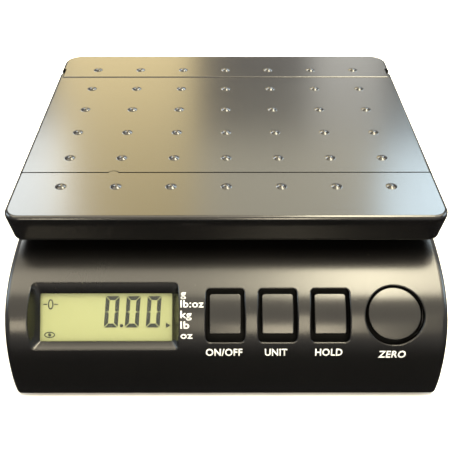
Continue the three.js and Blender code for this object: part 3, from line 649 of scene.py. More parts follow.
def divided(outline, counts):
    """The outline with extra points that cut its sides into the given numbers of pieces."""
    points = []
    for (ax, ay), (bx, by), pieces in zip(outline, outline[1:] + outline[:1], counts):
        points += [(ax + (bx - ax) * k / pieces, ay + (by - ay) * k / pieces) for k in range(pieces)]
    return points


def box_outline(box, radii):
    x0, x1, y0, y1 = box
    return rounded_rectangle(x0, x1, y0, y1, radii, 6)


def blended(low, high, share):
    return [(a[0] + (b[0] - a[0]) * share, a[1] + (b[1] - a[1]) * share) for a, b in zip(low, high)]


def outward(points, i):
    """Unit normal of an outline at one of its points."""
    (ax, ay), (bx, by) = points[i - 1], points[(i + 1) % len(points)]
    length = math.hypot(bx - ax, by - ay)
    return (by - ay) / length, (ax - bx) / length


def opening(name, outline_at, floors, rim):
    """
    A cutter for an opening through the nose. outline_at(z) is its outline at a height over the chord, and
    floors are the heights of its lower rings. Its mouth flares, which leaves the nose a rim rounded to rim.
    """
    rings = [[(x, y, z) for x, y in outline_at(z)] for z in floors]
    count = len(rings[0])
    mouth = []
    for i in range(count):
        z = 2.0
        for _ in range(4):  # the place sets the nose's height and the height sets the place
            x, y = outline_at(z)[i]
            z = nose_height(y)
        mouth.append((x, y))
    steps = 7
    for k in range(steps + 1):
        a = RIM_TURN * k / steps
        ring = []
        for i, (x, y) in enumerate(mouth):
            nx, ny = outward(mouth, i)
            flare = rim * (1 - math.cos(a))
            px, py = x + nx * flare, y + ny * flare
            ring.append((px, py, nose_height(py) - rim * (1 - math.sin(a))))
        rings.append(ring)
    rings.append([(x, y, z + 0.6) for x, y, z in rings[-1]])
    rings.append([(x, y, 10) for x, y, _ in rings[-1]])
    return loft(name, rings, PANEL)


def display_opening():
    floor = box_outline(FLOOR_BOX, FLOOR_CORNERS)
    counts = piece_counts(floor)
    floor = divided(floor, counts)
    chord = divided(box_outline(CHORD_BOX, RECESS_CORNERS), counts)
    rim = divided(box_outline(RIM_BOX, RECESS_CORNERS), counts)

    def outline_at(z):
        if z <= RECESS_FLOOR:
            return floor
        if z <= 0:
            return blended(floor, chord, 1 - z / RECESS_FLOOR)
        return blended(chord, rim, z / RIM_LEVEL)

    return opening("display_opening", outline_at, (RECESS_FLOOR - 0.4, RECESS_FLOOR, -1.2), RIM_ROUND)


def well_box(x, z=WELL_MIDDLE):
    half_x = WELL_HALF[0] + WELL_DRAFT * (z - WELL_MIDDLE)
    return (x - half_x, x + half_x, WELL_SHIFT - WELL_HALF[1], WELL_SHIFT + WELL_HALF[1])


def key_well(x):
    """A drafted well, a little wider at its mouth."""

    def outline_at(z):
        return box_outline(well_box(x, z), [WELL_CORNER] * 4)

    counts = piece_counts(outline_at(WELL_MIDDLE))
    return opening("key_well", lambda z: divided(outline_at(z), counts), WELL_FLOORS, KEY_RIM_ROUND)


def zero_well():
    outline = circle(ROUND_X, WELL_SHIFT, ROUND_WELL, 120)
    return opening("zero_well", lambda z: outline, WELL_FLOORS, KEY_RIM_ROUND)


def grown(box, margin):
    x0, x1, y0, y1 = box
    return (x0 - margin, x1 + margin, y0 - margin, y1 + margin)


JACK_HOLE_RADIUS = 4.8
DOOR_EXIT_TOP = 4.3
SPIDER_HOLE = (10, 46)  # along X, where the spider's foot passes through the roof


def recess_skirt():
    """The wall round the display's recess, on the inside of the nose."""
    low_ring = [(x, y, RECESS_FLOOR - 1.3) for x, y in box_outline(grown(FLOOR_BOX, 2.6), RECESS_CORNERS)]
    high = box_outline(grown(RIM_BOX, 1.6), RECESS_CORNERS)
    rings = [low_ring, [(x, y, 0) for x, y in high], [(x, y, 9) for x, y in high]]
    return meet(loft("skirt", rings, PANEL), housing_outside())


def build_housing():
    shell = join(cut(housing_outside(), housing_inside()), recess_skirt())
    seat = block("seat", *grown(FLOOR_BOX, 0.9), RECESS_FLOOR - 2, RECESS_FLOOR - 0.05, PANEL)
    wells = [key_well(x) for x in KEY_X.values()]
    jack_low, jack_high = box_mm("dc_jack")
    jack_x = (jack_low.x + jack_high.x) / 2
    jack_z = (jack_low.z + jack_high.z) / 2
    jack_hole = rod_along_y("jack_hole", jack_x, jack_z, JACK_HOLE_RADIUS, REAR - 5, REAR + 3, 64)
    door_low, door_high = box_mm("battery_door")
    door_exit = block("door_exit", door_low.x - 1, door_high.x + 1, REAR - 5, REAR + 2, 0, DOOR_EXIT_TOP)
    roof_hole = block("roof_hole", *SPIDER_HOLE, TRAY_MID - 14, TRAY_MID + 14, ROOF - 8, ROOF + 4)
    cut(shell, display_opening(), seat, *wells, zero_well(), jack_hole, door_exit, roof_hole)
    smooth(shell, 32, housing_normal)
    return finish_piece(shell, "base", "housing_plastic", HOUSING_PLASTIC, "upper_housing")


build_housing()

# ---------------------------------------------------------------- keys

CAP_LEVEL = 2.75  # height of the caps' middle over the panel's chord
CAP_LEAN = math.radians(8.1)  # the caps face a little higher than the chord
CAP_CROWN = 38.0
CAP_EDGE = 0.45
FLANGE_BOTTOM = -5.0
FLANGE_TOP = -3.75
FLANGE_MARGIN = 0.9
ROUND_FLANGE_MARGIN = 0.8


def cap_height(y):
    """Height of a cap's crown over the panel's chord."""
    away = y - KEY_SHIFT
    return CAP_LEVEL - math.tan(CAP_LEAN) * away + math.sqrt(CAP_CROWN**2 - away**2) - CAP_CROWN


def crown_normal(point):
    """The crown's normal at a point on it, or None off it."""
    local = PANEL_INTO @ point
    if abs(local.z - cap_height(local.y)) > 0.004:
        return None
    away = local.y - KEY_SHIFT
    slope = -math.tan(CAP_LEAN) - away / math.sqrt(CAP_CROWN**2 - away**2)
    return (PANEL.to_3x3() @ Vector((0, -slope, 1))).normalized()


def build_key(node, middle_x, outline, flange_outline):
    """A cap with a crowned top and rounded edges, on its flange behind the panel."""
    name = node.replace("_key", "_cap")
    body = node.replace("_key", "_button")
    points = divided(outline, piece_counts(outline, 0.9))
    rings = [[(x, y, FLANGE_TOP - 0.3) for x, y in points]]
    for a in quarter(6):
        ring = []
        for i, (x, y) in enumerate(points):
            nx, ny = outward(points, i)
            inset = CAP_EDGE * (1 - math.cos(a))
            px, py = x - nx * inset, y - ny * inset
            ring.append((px, py, cap_height(py) - CAP_EDGE * (1 - math.sin(a))))
        rings.append(ring)
    edge = rings[-1]
    for k in range(1, 12):
        share = 1 - k / 12
        ring = [(middle_x + (x - middle_x) * share, KEY_SHIFT + (y - KEY_SHIFT) * share) for x, y, _ in edge]
        rings.append([(x, y, cap_height(y)) for x, y in ring])
    cap = loft(name, rings, PANEL)
    smooth(cap, 50, crown_normal)
    flange = prism(name + "_flange", flange_outline, FLANGE_BOTTOM, FLANGE_TOP, PANEL)
    meet(flange, housing_clear_room())
    smooth(flange, 30)
    # The flange wears the painted-shade copy of the key plastic, which is darker than its cap.
    finish_piece(flange, body, "key_plastic", KEY_FLANGE_PAINTED_SHADE)
    return finish_piece(cap, body, "key_plastic", KEY_PLASTIC, node)


def housing_clear_room():
    """The room inside the housing's wall, for the flanges to be trimmed to."""
    side = housing_side(WALL + 0.3, 40)
    half = HALF_WIDTH - WALL - 0.3
    return loft("clear_room", [[(x, p.x, p.y) for p, _ in side] for x in (half, -half)])


def build_keys():
    for node, x in KEY_X.items():
        box = (x - KEY_HALF[0], x + KEY_HALF[0], KEY_SHIFT - KEY_HALF[1], KEY_SHIFT + KEY_HALF[1])
        flange = rounded_rectangle(*grown(well_box(x), FLANGE_MARGIN), [1] * 4, 4)
        build_key(node, x, box_outline(box, KEY_CORNERS), flange)
    round_flange = circle(ROUND_X, WELL_SHIFT, ROUND_WELL + ROUND_FLANGE_MARGIN, 64)
    build_key("zero_key", ROUND_X, circle(ROUND_X, KEY_SHIFT, ROUND_RADIUS, 120), round_flange)


build_keys()

# ---------------------------------------------------------------- display

LCD_TOP = -4.5
SEGMENT = 1.75
DIGIT = (6.1, 13.7)
SLANT = 0.065


def segment_outlines(x, y):
    """The six lit bars of a zero whose lower left corner is at x, y."""
    w, h = DIGIT
    t = SEGMENT
    g = 0.2
    half = h / 2
    low_tip, high_tip = (w - t * 0.5, half - 0.02), (w - t * 0.5, half + 0.02)
    bars = [
        [(g + 0.1, h), (w - g - 0.1, h), (w - t - g, h - t), (t + g, h - t)],
        [(g + 0.1, 0), (t + g, t), (w - t - g, t), (w - g - 0.1, 0)],
        [(0, g + 0.1), (0, half - g), (t * 0.5, half - 0.02), (t, half - g - 0.3), (t, t + g)],
        [(0, h - g - 0.1), (t, h - t - g), (t, half + g + 0.3), (t * 0.5, half + 0.02), (0, half + g)],
        [(w, g + 0.1), (w - t, t + g), (w - t, half - g - 0.3), low_tip, (w, half - g)],
        [(w, h - g - 0.1), (w, half + g), high_tip, (w - t, half + g + 0.3), (w - t, h - t - g)],
    ]
    return [[(x + px + SLANT * py, y + py) for px, py in bar] for bar in bars]


def ring_outline(x, y, rx, ry, width, sides=40):
    """Quads of an elliptical ring."""

    def at(k, inset):
        a = 2 * math.pi * k / sides
        return (x + (rx - inset) * math.cos(a), y + (ry - inset) * math.sin(a))

    return [[at(k, 0), at(k + 1, 0), at(k + 1, width), at(k, width)] for k in range(sides)]


# Places on the display are measured from its lower left corner.
DIGIT_X = (27.5, 36.65, 45.85)
DIGIT_Y = 5.75
POINT = (35.3, 6.55)
POINT_RADIUS = 0.78
ARROW = (54.7, 5.5)
ARROW_SIZE = (2.1, 2.4)
ZERO_MARK = (4.15, 15.9)
ZERO_MARK_HALF = (1.25, 2.25)
ZERO_MARK_LINE = 0.55
DASH_STARTS = (-3.25, 1.55)
DASH_SIZE = (1.7, 0.48)
EYE_MARK = (3.85, 2.6)
EYE_MARK_HALF = (2.4, 1.35)
EYE_MARK_LINE = 0.46
EYE_MARK_DOT = 0.7


def display_shapes():
    """Outlines of everything that the display shows: 0.00, a unit arrow, a zero mark and a steady mark."""
    left, _, low, _ = FLOOR_BOX
    shapes = []
    for x in DIGIT_X:
        shapes += segment_outlines(left + x, low + DIGIT_Y)
    shapes.append(circle(left + POINT[0], low + POINT[1], POINT_RADIUS, 20))
    x, y = left + ARROW[0], low + ARROW[1]
    shapes.append([(x, y), (x + ARROW_SIZE[0], y + ARROW_SIZE[1] / 2), (x, y + ARROW_SIZE[1])])
    x, y = left + ZERO_MARK[0], low + ZERO_MARK[1]
    shapes += ring_outline(x, y, *ZERO_MARK_HALF, ZERO_MARK_LINE)
    for dash in DASH_STARTS:
        x0, x1 = x + dash, x + dash + DASH_SIZE[0]
        y0, y1 = y - DASH_SIZE[1] / 2, y + DASH_SIZE[1] / 2
        shapes.append([(x0, y0), (x1, y0), (x1, y1), (x0, y1)])
    x, y = left + EYE_MARK[0], low + EYE_MARK[1]
    shapes += ring_outline(x, y, *EYE_MARK_HALF, EYE_MARK_LINE)
    shapes.append(circle(x, y, EYE_MARK_DOT, 16))
    return shapes


def build_display():
    verts = []
    faces = []
    for outline in display_shapes():
        count = len(outline)
        start = len(verts)
        verts += [PANEL @ Vector((x, y, LCD_TOP + z)) for z in (0.01, 0.07) for x, y in outline]
        faces.append(tuple(range(start, start + count))[::-1])
        faces.append(tuple(range(start + count, start + 2 * count)))
        for i in range(count):
            j = (i + 1) % count
            faces.append((start + i, start + j, start + count + j, start + count + i))
    digits = facing_out(make_object("lcd_segments", verts, faces))
    finish_piece(digits, "base", "lcd_glass", LCD_INK)


build_display()

# ---------------------------------------------------------------- printed labels


LABEL_LETTER_SPACE = 1.06
LABEL_SUNK = 0.012  # clear of the housing, so that no faces coincide
LABEL_PROUD = 0.07
CAPITAL = 0.69  # height of a capital in the built-in font at size 1
KEY_LABEL_HEIGHT = 3.4
KEY_LABEL_AT = (-100.5, 26.8)  # y and z of the key labels' baseline
KEY_LABELS = (  # text, x of its middle, how far up from the baseline, width, slant
    ("ON/OFF", -1.0, 0.0, 15.8, 0.0),
    ("UNIT", 21.4, 0.0, 9.7, -0.04),
    ("HOLD", 44.2, 0.0, 11.8, -0.02),
    ("ZERO", 71.6, -1.1, 12.0, 0.09),
)
UNIT_X = -19.7
UNIT_LABEL_HEIGHT = 3.0
UNIT_LABEL_AT = (-87.3, 48.9)  # y and z of the first unit label's baseline
UNIT_STEP = 4.53
UNIT_LABELS = (("g", 2.35), ("lb:oz", 10.0), ("kg", 4.85), ("lb", 3.85), ("oz", 5.25))  # text and width


def arc_at(y, z):
    """Arc length up the housing's side outline at its point nearest to (y, z)."""
    offset = SIDE_POINTS - np.array([y, z])
    return float(SIDE_LENGTH[int(np.argmin((offset**2).sum(1)))])


def on_side(arc, lift):
    """(y, z) at an arc length up the side outline, lifted off it."""
    y = np.interp(arc, SIDE_LENGTH, SIDE_POINTS[:, 0])
    z = np.interp(arc, SIDE_LENGTH, SIDE_POINTS[:, 1])
    ny = np.interp(arc, SIDE_LENGTH, SIDE_NORMALS[:, 0])
    nz = np.interp(arc, SIDE_LENGTH, SIDE_NORMALS[:, 1])
    return y + ny * lift, z + nz * lift


def label(name, text, x, arc, height, width=None, align="CENTER", shear=0.0, weight=0.022):
    """White lettering wrapped onto the housing: its baseline at arc, its capitals height tall."""
    curve = bpy.data.curves.new(name, "FONT")
    curve.body = text
    curve.align_x = align
    curve.offset = weight
    curve.shear = shear
    curve.resolution_u = 4
    curve.space_character = LABEL_LETTER_SPACE
    obj = bpy.data.objects.new(name, curve)
    bpy.context.scene.collection.objects.link(obj)
    bpy.context.view_layer.update()
    flat = bpy.data.meshes.new_from_object(obj.evaluated_get(bpy.context.evaluated_depsgraph_get()))
    bpy.data.objects.remove(obj)
    bm = bmesh.new()
    bm.from_mesh(flat)
    tidy(bm, 0.0001)
    xs = [v.co.x for v in bm.verts]
    size = height / CAPITAL
    stretch = (width / (max(xs) - min(xs))) if width else size
    start = min(xs) if align == "LEFT" else (min(xs) + max(xs)) / 2
    for v in bm.verts:
        v.co = Vector((x + (v.co.x - start) * stretch, v.co.y * size, 0))
    out = bmesh.ops.extrude_face_region(bm, geom=bm.faces[:])
    raised = {g for g in out["geom"] if isinstance(g, bmesh.types.BMVert)}
    for v in bm.verts:
        lift = LABEL_PROUD if v in raised else LABEL_SUNK
        y, z = on_side(arc + v.co.y, lift)
        v.co = Vector((v.co.x, y, z)) * MM
    bmesh.ops.recalc_face_normals(bm, faces=bm.faces)
    bm.to_mesh(flat)
    bm.free()
    piece = bpy.data.objects.new(name, flat)
    bpy.context.scene.collection.objects.link(piece)
    return finish_piece(piece, "base", "label_print", WHITE_PRINT)


def build_labels():
    for text, x, up, width, slant in KEY_LABELS:
        name = "label_" + text.lower().replace("/", "_")
        label(name, text, x, arc_at(*KEY_LABEL_AT) + up, KEY_LABEL_HEIGHT, width, shear=slant)
    for row, (text, width) in enumerate(UNIT_LABELS):
        name = "label_" + text.replace(":", "_") + "_unit"
        arc = arc_at(*UNIT_LABEL_AT) - UNIT_STEP * row
        label(name, text, UNIT_X, arc, UNIT_LABEL_HEIGHT, width, align="LEFT", weight=0.02)


build_labels()

# ---------------------------------------------------------------- weighing tray

CORNER_FRONT = 7.5
CORNER_REAR = 9.0
TOP_ROUND = 1.8
BOTTOM_ROUND = 2.6
DRAFT = 0.17
FLAP_REAR = 70.0
GROOVE = 0.8
FLAP_THICK = 2.5
LIP = 7.0
LIP_WIDTH = 2.3
HINGE_Y = 73.4
HINGE_Z = TRAY_TOP - 2.0
EAR = 3.0
PIN_HOLE_RADIUS = 1.05
NOTCH_END = 82.1
STUD_PITCH = 25.0
STUD_COLUMNS = 7
STUD_FIRST = -44.6
STUD_RADIUS = 2.75
GAP = 0.3
NAIL_X = -52.5
NAIL_Y = -34.0
NAIL_RADIUS = 2.6
NAIL_CLEARANCE = 0.4
STRIP_CORNER = 2.0
ROOM_TOP = 72.2
STRIP_ROOM_BOTTOM = 68


def tray_section():
    """(inset, z) of the tray's edge, from the underside up to the top face."""
    rows = []
    foot = DRAFT * (TRAY_TOP - 3 - TRAY_BOTTOM)
    for a in quarter(8):
        rows.append((foot + BOTTOM_ROUND * (1 - math.sin(a)), TRAY_BOTTOM + BOTTOM_ROUND * (1 - math.cos(a))))
    rows.append((DRAFT * 4, TRAY_TOP - 6))
    rows.append((0.0, TRAY_TOP - TOP_ROUND - 1))
    for a in quarter(8):
        rows.append((TOP_ROUND * (1 - math.cos(a)), TRAY_TOP - TOP_ROUND * (1 - math.sin(a))))
    return rows


def tray_ring(inset, z, steps=12):
    front = max(CORNER_FRONT - inset, 0.8)
    rear = max(CORNER_REAR - inset, 0.8)
    box = grown((-TRAY_HALF, TRAY_HALF, TRAY_LOW.y, TRAY_HIGH.y), -inset)
    return [(x, y, z) for x, y in rounded_rectangle(*box, [front, front, rear, rear], steps)]


def tray_whole(name):
    return loft(name, [tray_ring(inset, z) for inset, z in tray_section()])


def edge_band(name, side, y0, y1, z0, inner):
    """A block from inner outwards, on one side of the tray."""
    return block(name, *sorted((side * inner, side * FAR)), y0, y1, z0, ABOVE)


def fill_top(obj, centres):
    """Rebuilds the flat top with a round, softly footed stud at each centre."""
    bm = bmesh.new()
    bm.from_mesh(obj.data)
    tidy(bm)
    bm.normal_update()
    level = TRAY_TOP * MM
    flat = [f for f in bm.faces if all(abs(v.co.z - level) < 2e-6 for v in f.verts) and f.normal.z > 0.99]
    chosen = set(flat)
    border = [e for e in bm.edges if sum(f in chosen for f in e.link_faces) == 1]
    border_verts = list({v for e in border for v in e.verts})
    index = {v: i for i, v in enumerate(border_verts)}
    bmesh.ops.delete(bm, geom=flat, context="FACES_ONLY")
    points = [v.co.xy for v in border_verts]
    edges = [(index[e.verts[0]], index[e.verts[1]]) for e in border]
    sides = 28
    for cx, cy in centres:
        start = len(points)
        points += [Vector(p) * MM for p in circle(cx, cy, STUD_RADIUS, sides)]
        edges += [(start + k, start + (k + 1) % sides) for k in range(sides)]
    loop_edges = [tuple(border_verts[i].co.xy.copy() for i in edge) for edge in edges[: len(border)]]
    out_points, _, faces, origin, _, _ = delaunay_2d_cdt(points, edges, [], 0, 1e-9)
    made = [None] * len(out_points)
    for i, sources in enumerate(origin):
        source = sources[0] if sources else -1
        if 0 <= source < len(border_verts):
            made[i] = border_verts[source]
        else:
            made[i] = bm.verts.new((*out_points[i], level))
    by_source = {s: made[i] for i, sources in enumerate(origin) for s in sources}

    def inside(p):
        crossings = 0
        for a, b in loop_edges:
            if (a.y > p.y) != (b.y > p.y) and p.x < a.x + (p.y - a.y) * (b.x - a.x) / (b.y - a.y):
                crossings += 1
        return crossings % 2 == 1

    for triangle in faces:
        middle = sum((out_points[i] for i in triangle), Vector((0, 0))) / len(triangle)
        if any((middle / MM - Vector(c)).length < STUD_RADIUS * 0.99 for c in centres) or not inside(middle):
            continue
        bm.faces.new([made[i] for i in triangle])
    rings = 9
    for n, (cx, cy) in enumerate(centres):
        start = len(border_verts) + n * sides
        ring = [by_source[start + k] for k in range(sides)]
        for r in range(1, rings):
            share = 1 - r / rings
            rise = STUD_HEIGHT * (1 - share**2.3) ** 1.7
            points = circle(cx, cy, STUD_RADIUS * share, sides)
            inner = [bm.verts.new((x * MM, y * MM, level + rise * MM)) for x, y in points]
            for k in range(sides):
                j = (k + 1) % sides
                bm.faces.new((ring[k], ring[j], inner[j], inner[k]))
            ring = inner
        tip = bm.verts.new((cx * MM, cy * MM, level + STUD_HEIGHT * MM))
        for k in range(sides):
            bm.faces.new((ring[k], ring[(k + 1) % sides], tip))
    bmesh.ops.recalc_face_normals(bm, faces=bm.faces)
    bm.to_mesh(obj.data)
    bm.free()
    return obj


def stud_centres(rows):
    middle = (STUD_COLUMNS - 1) / 2
    return [
        ((column - middle) * STUD_PITCH, STUD_FIRST + row * STUD_PITCH)
        for row in rows
        for column in range(STUD_COLUMNS)
    ]


def tray_normal(point):
    """Up on the flat top; elsewhere the mesh's own smooth normal."""
    return Vector((0, 0, 1)) if abs(point.z - TRAY_TOP) < 0.003 else None


def on_top_edge(low, high):
    """Picks sharp edges of the top face whose y lies between low and high."""

    def wanted(edge):
        a, b = (v.co / MM for v in edge.verts)
        level = abs(a.z - TRAY_TOP) < 0.01 and abs(b.z - TRAY_TOP) < 0.01
        within = low < a.y < high and low < b.y < high
        return level and within and edge.calc_face_angle(0) > math.radians(50)

    return wanted


def build_tray():
    inner = TRAY_HALF - LIP_WIDTH
    tray = tray_whole("weighing_tray")
    room_ends = ((6.6, TRAY_BOTTOM - 3), (4.6, ROOM_TOP))
    room = loft("room", [tray_ring(inset, z, 4) for inset, z in room_ends])
    front_edge = FLAP_FRONT - GROOVE
    rear_edge = FLAP_REAR + GROOVE
    seat_level = TRAY_TOP - FLAP_THICK - GAP
    lip_low = TRAY_TOP - LIP - GAP
    strip_room = (STRIP_ROOM_BOTTOM, TRAY_TOP - WALL)
    front_room = block("front_room", -91, 91, TRAY_LOW.y + 5, front_edge - WALL, *strip_room)
    rear_room = block("rear_room", -88, 88, rear_edge + WALL, TRAY_HIGH.y - 5, *strip_room)
    seat = block("panel_seat", -FAR, FAR, front_edge, rear_edge, seat_level, ABOVE)
    corner_cut = []
    for side in (-1, 1):
        x0, y0, radius = TRAY_HALF - STRIP_CORNER, front_edge - STRIP_CORNER, STRIP_CORNER
        arc = [(x0 + radius * math.sin(a), y0 + radius * math.cos(a)) for a in quarter(8)]
        outline = [(side * x, y) for x, y in [(x0, 0), *arc, (FAR, y0), (FAR, 0)]]
        corner_cut.append(prism("corner", outline[::side], lip_low, ABOVE))
    nail_tab = prism("nail_tab", circle(NAIL_X, NAIL_Y, NAIL_RADIUS, 48), seat_level - 1, TRAY_TOP)
    cut(tray, room, front_room, rear_room, seat, *corner_cut)
    join(tray, meet(nail_tab, block("tab_room", -FAR, FAR, front_edge - 1, 0, 0, ABOVE)))
    for side in (-1, 1):
        lip = edge_band("lip_seat", side, front_edge, rear_edge, lip_low, inner - GAP)
        ear = edge_band("ear_seat", side, FLAP_REAR - 1, NOTCH_END, lip_low, inner - GAP)
        cut(tray, lip, ear)
    soften(tray, on_top_edge(FLAP_FRONT - 3, 0), 0.3, 3)
    soften(tray, on_top_edge(FLAP_REAR, FLAP_REAR + GROOVE + 0.5), 1.0, 5)
    fill_top(tray, stud_centres((0, 5)))
    smooth(tray, 34, tray_normal)
    return finish_piece(tray, "platform", "tray_plastic", TRAY_PLASTIC, "platform_tray")


def build_flap():
    inner = TRAY_HALF - LIP_WIDTH
    wanted = block("wanted", -FAR, FAR, FLAP_FRONT, FLAP_REAR, TRAY_TOP - FLAP_THICK, ABOVE)
    for side in (-1, 1):
        x0, x1 = sorted((side * inner, side * FAR))
        lip = edge_band("lip", side, FLAP_FRONT, FLAP_REAR, TRAY_TOP - LIP, inner)
        knuckle = rod_along_x("knuckle", HINGE_Y, HINGE_Z, EAR, x0, x1, 64)
        bridge = block("bridge", x0, x1, FLAP_REAR - 0.5, HINGE_Y, HINGE_Z - EAR, HINGE_Z + 2.0)
        join(wanted, lip, knuckle, bridge)
    flap = meet(tray_whole("envelope_rest"), wanted)
    cut(flap, rod_along_x("eyes", HINGE_Y, HINGE_Z, PIN_HOLE_RADIUS, -FAR, FAR, 32))
    cut(flap, prism("nail_notch", circle(NAIL_X, NAIL_Y, NAIL_RADIUS + NAIL_CLEARANCE, 48), 60, ABOVE))
    soften(flap, on_top_edge(FLAP_FRONT - 1, FLAP_FRONT + 2), 0.38, 3)
    soften(flap, on_top_edge(FLAP_REAR - 1, FLAP_REAR + 8), 0.3, 3)
    fill_top(flap, stud_centres((1, 2, 3, 4)))
    smooth(flap, 34, tray_normal)
    return finish_piece(flap, "flap", "tray_plastic", TRAY_PLASTIC, "envelope_flap")


build_tray()
build_flap()

# ---------------------------------------------------------------- pieces that keep their CAD shape

LOOKS = {
    "housing_plastic": HOUSING_PLASTIC,
    "tray_plastic": TRAY_PLASTIC,
    "key_plastic": KEY_PLASTIC,
    "inlet_plastic": KEY_PLASTIC,
    "foot_rubber": FOOT_RUBBER,
    "silicone": MAT_SILICONE,
    "lead_sleeve": LEAD_SLEEVE,
    "window_clear": CLEAR_WINDOW,
    "lcd_glass": LCD_FILM,
    "frame_white": FRAME_WHITE,
    "circuit_board": BOARD_GREEN,
    "steel": STEEL,
    "cell_aluminium": CELL_ALUMINIUM,
    "battery_jacket": BATTERY_SLEEVE,
}
SLOTS = {row["node"]: row["material_slot"] for row in frame["record"]["subparts"]}
BODIES = {node: body for body, nodes in frame["record"]["behaviour"]["bodies"].items() for node in nodes}
for cad_node, cad_obj in frame["nodes"].items():
    cad_obj.data.materials.clear()
    cad_obj.data.materials.append(LOOKS[SLOTS[cad_node]])

# Pieces seen from outside, or with the envelope rest raised, get rounded edges on their own meshes.
EDGE_ROUNDS = {
    "base_plate": 0.35,
    "battery_door": 0.3,
    "platform_spider": 0.4,
    "load_cell": 0.25,
    "dc_jack": 0.3,
    "flap_pin_left": 0.25,
    "flap_pin_right": 0.25,
}
for cad_node in frame["nodes"]:
    if cad_node.startswith("foot_"):
        EDGE_ROUNDS[cad_node] = 0.7
    elif cad_node.startswith(("housing_screw", "tray_bush")):
        EDGE_ROUNDS[cad_node] = 0.3


def refined(node, width):
    """A copy of a CAD node with its flat faces merged and its sharp edges rounded."""
    source = frame["nodes"][node]
    piece = bpy.data.objects.new(node + "_finished", source.data.copy())
    bpy.context.scene.collection.objects.link(piece)
    piece.matrix_world = source.matrix_world.copy()
    bm = bmesh.new()
    bm.from_mesh(piece.data)
    tidy(bm)
    bmesh.ops.dissolve_limit(bm, angle_limit=math.radians(1), verts=bm.verts, edges=bm.edges)
    bm.to_mesh(piece.data)
    bm.free()
    soften(piece, sharper_than(40), width, 3)
    smooth(piece, 40)
    return piece


def cross_recess(node):
    """A cutter for a screw's cross recess, in its head on the underside."""
    low, high = box_mm(node)
    x, y = (low.x + high.x) / 2, (low.y + high.y) / 2
    length, width, depths = 1.9, 0.45, (low.z - 1, low.z + 1.3)
    along_x = block("cross", x - length, x + length, y - width, y + width, *depths)
    return join(along_x, block("cross", x - width, x + width, y - length, y + length, *depths))


def flat_shaded_faces(obj):
    """Lets the largest faces set the shading, so that flat faces look flat."""
    weights = obj.modifiers.new("weights", "WEIGHTED_NORMAL")
    weights.keep_sharp = True
    weights.weight = 100
    return applied(obj)


LOAD_CELL_BEND = ((-15.5, 16.4, 24.6), (15.5, 16.4, 24.6))  # between its two spacers

for cad_node, edge_width in EDGE_ROUNDS.items():
    finished = refined(cad_node, edge_width)
    if cad_node.startswith("housing_screw"):
        cut(finished, cross_recess(cad_node))
    flat_shaded_faces(finished)
    cad_slot = SLOTS[cad_node]
    if cad_node == "load_cell":
        finish_bent(finished, ("base", "platform"), *LOAD_CELL_BEND, cad_slot, LOOKS[cad_slot], cad_node)
    else:
        finish_piece(finished, BODIES[cad_node], cad_slot, LOOKS[cad_slot], cad_node)

# ---------------------------------------------------------------- keypad mat

SHEET_BOX = (-9.8, 87.0, -12.5, 13.5)
SHEET_BOTTOM = -7.8
SHEET_TOP = -6.9
DOME_TOP = -5.3
# Radius and height of each ring of a dome.
DOME_PROFILE = ((4.5, -6.88), (4.3, -6.6), (3.75, -6.0), (3.3, -5.5), (3.15, -5.36), (2.9, -5.3))


def build_keypad_mat():
    """A rubber sheet, with a dome under each key."""
    sheet = block("keypad_sheet", *SHEET_BOX, SHEET_BOTTOM, SHEET_TOP, PANEL)
    soften(sheet, sharper_than(40), 0.2, 2)
    finish_piece(smooth(sheet, 40), "base", "silicone", MAT_SILICONE, "keypad_mat")
    for node, x in (*KEY_X.items(), ("zero_key", ROUND_X)):
        rings = [[(px, py, z) for px, py in circle(x, KEY_SHIFT, radius, 40)] for radius, z in DOME_PROFILE]
        dome = smooth(loft(node.replace("_key", "_dome"), rings, PANEL), 50)
        bodies = ("base", node.replace("_key", "_button"))
        low, high = PANEL @ Vector((x, KEY_SHIFT, SHEET_TOP)), PANEL @ Vector((x, KEY_SHIFT, DOME_TOP))
        finish_bent(dome, bodies, low, high, "silicone", MAT_SILICONE)


build_keypad_mat()

# ---------------------------------------------------------------- studio


FLOOR_HALF = 3000
LIGHT_DISTANCE = 4.0
LIGHT_TARGET = Vector((0, 0, 0.05))


def add_floor():
    corners = [(x * FLOOR_HALF, y * FLOOR_HALF, 0) for x, y in ((-1, -1), (1, -1), (1, 1), (-1, 1))]
    floor = make_object("floor", corners, [(0, 1, 2, 3)])
    floor.data.materials.append(pale_floor())
    floor.visible_glossy = False


def soft_box(name, lean, tilt, radiance, colour):
    """
    A rectangular light aimed at the scale. Tilt runs over it from the horizon behind (0) through straight
    up (90) to the horizon in front (180); lean runs to its right. Both are (from, to) in degrees.
    """
    middle_lean = math.radians(sum(lean) / 2)
    middle_tilt = math.radians(sum(tilt) / 2)
    width = 2 * LIGHT_DISTANCE * math.tan(math.radians(lean[1] - lean[0]) / 2)
    height = 2 * LIGHT_DISTANCE * math.tan(math.radians(tilt[1] - tilt[0]) / 2) * math.cos(middle_lean)
    data = bpy.data.lights.new(name, "AREA")
    data.shape = "RECTANGLE"
    data.size = width
    data.size_y = height
    data.color = colour
    data.energy = radiance * math.pi * width * height
    obj = bpy.data.objects.new(name, data)
    bpy.context.scene.collection.objects.link(obj)
    ahead = Vector((0, math.cos(middle_tilt), math.sin(middle_tilt)))
    sideways = Vector((1, 0, 0))
    across = sideways * math.cos(middle_lean) - ahead * math.sin(middle_lean)
    away = sideways * math.sin(middle_lean) + ahead * math.cos(middle_lean)
    turn = Matrix((across, away.cross(across), away)).transposed().to_4x4()
    obj.matrix_world = Matrix.Translation(LIGHT_TARGET + away * LIGHT_DISTANCE) @ turn
    obj.visible_camera = False


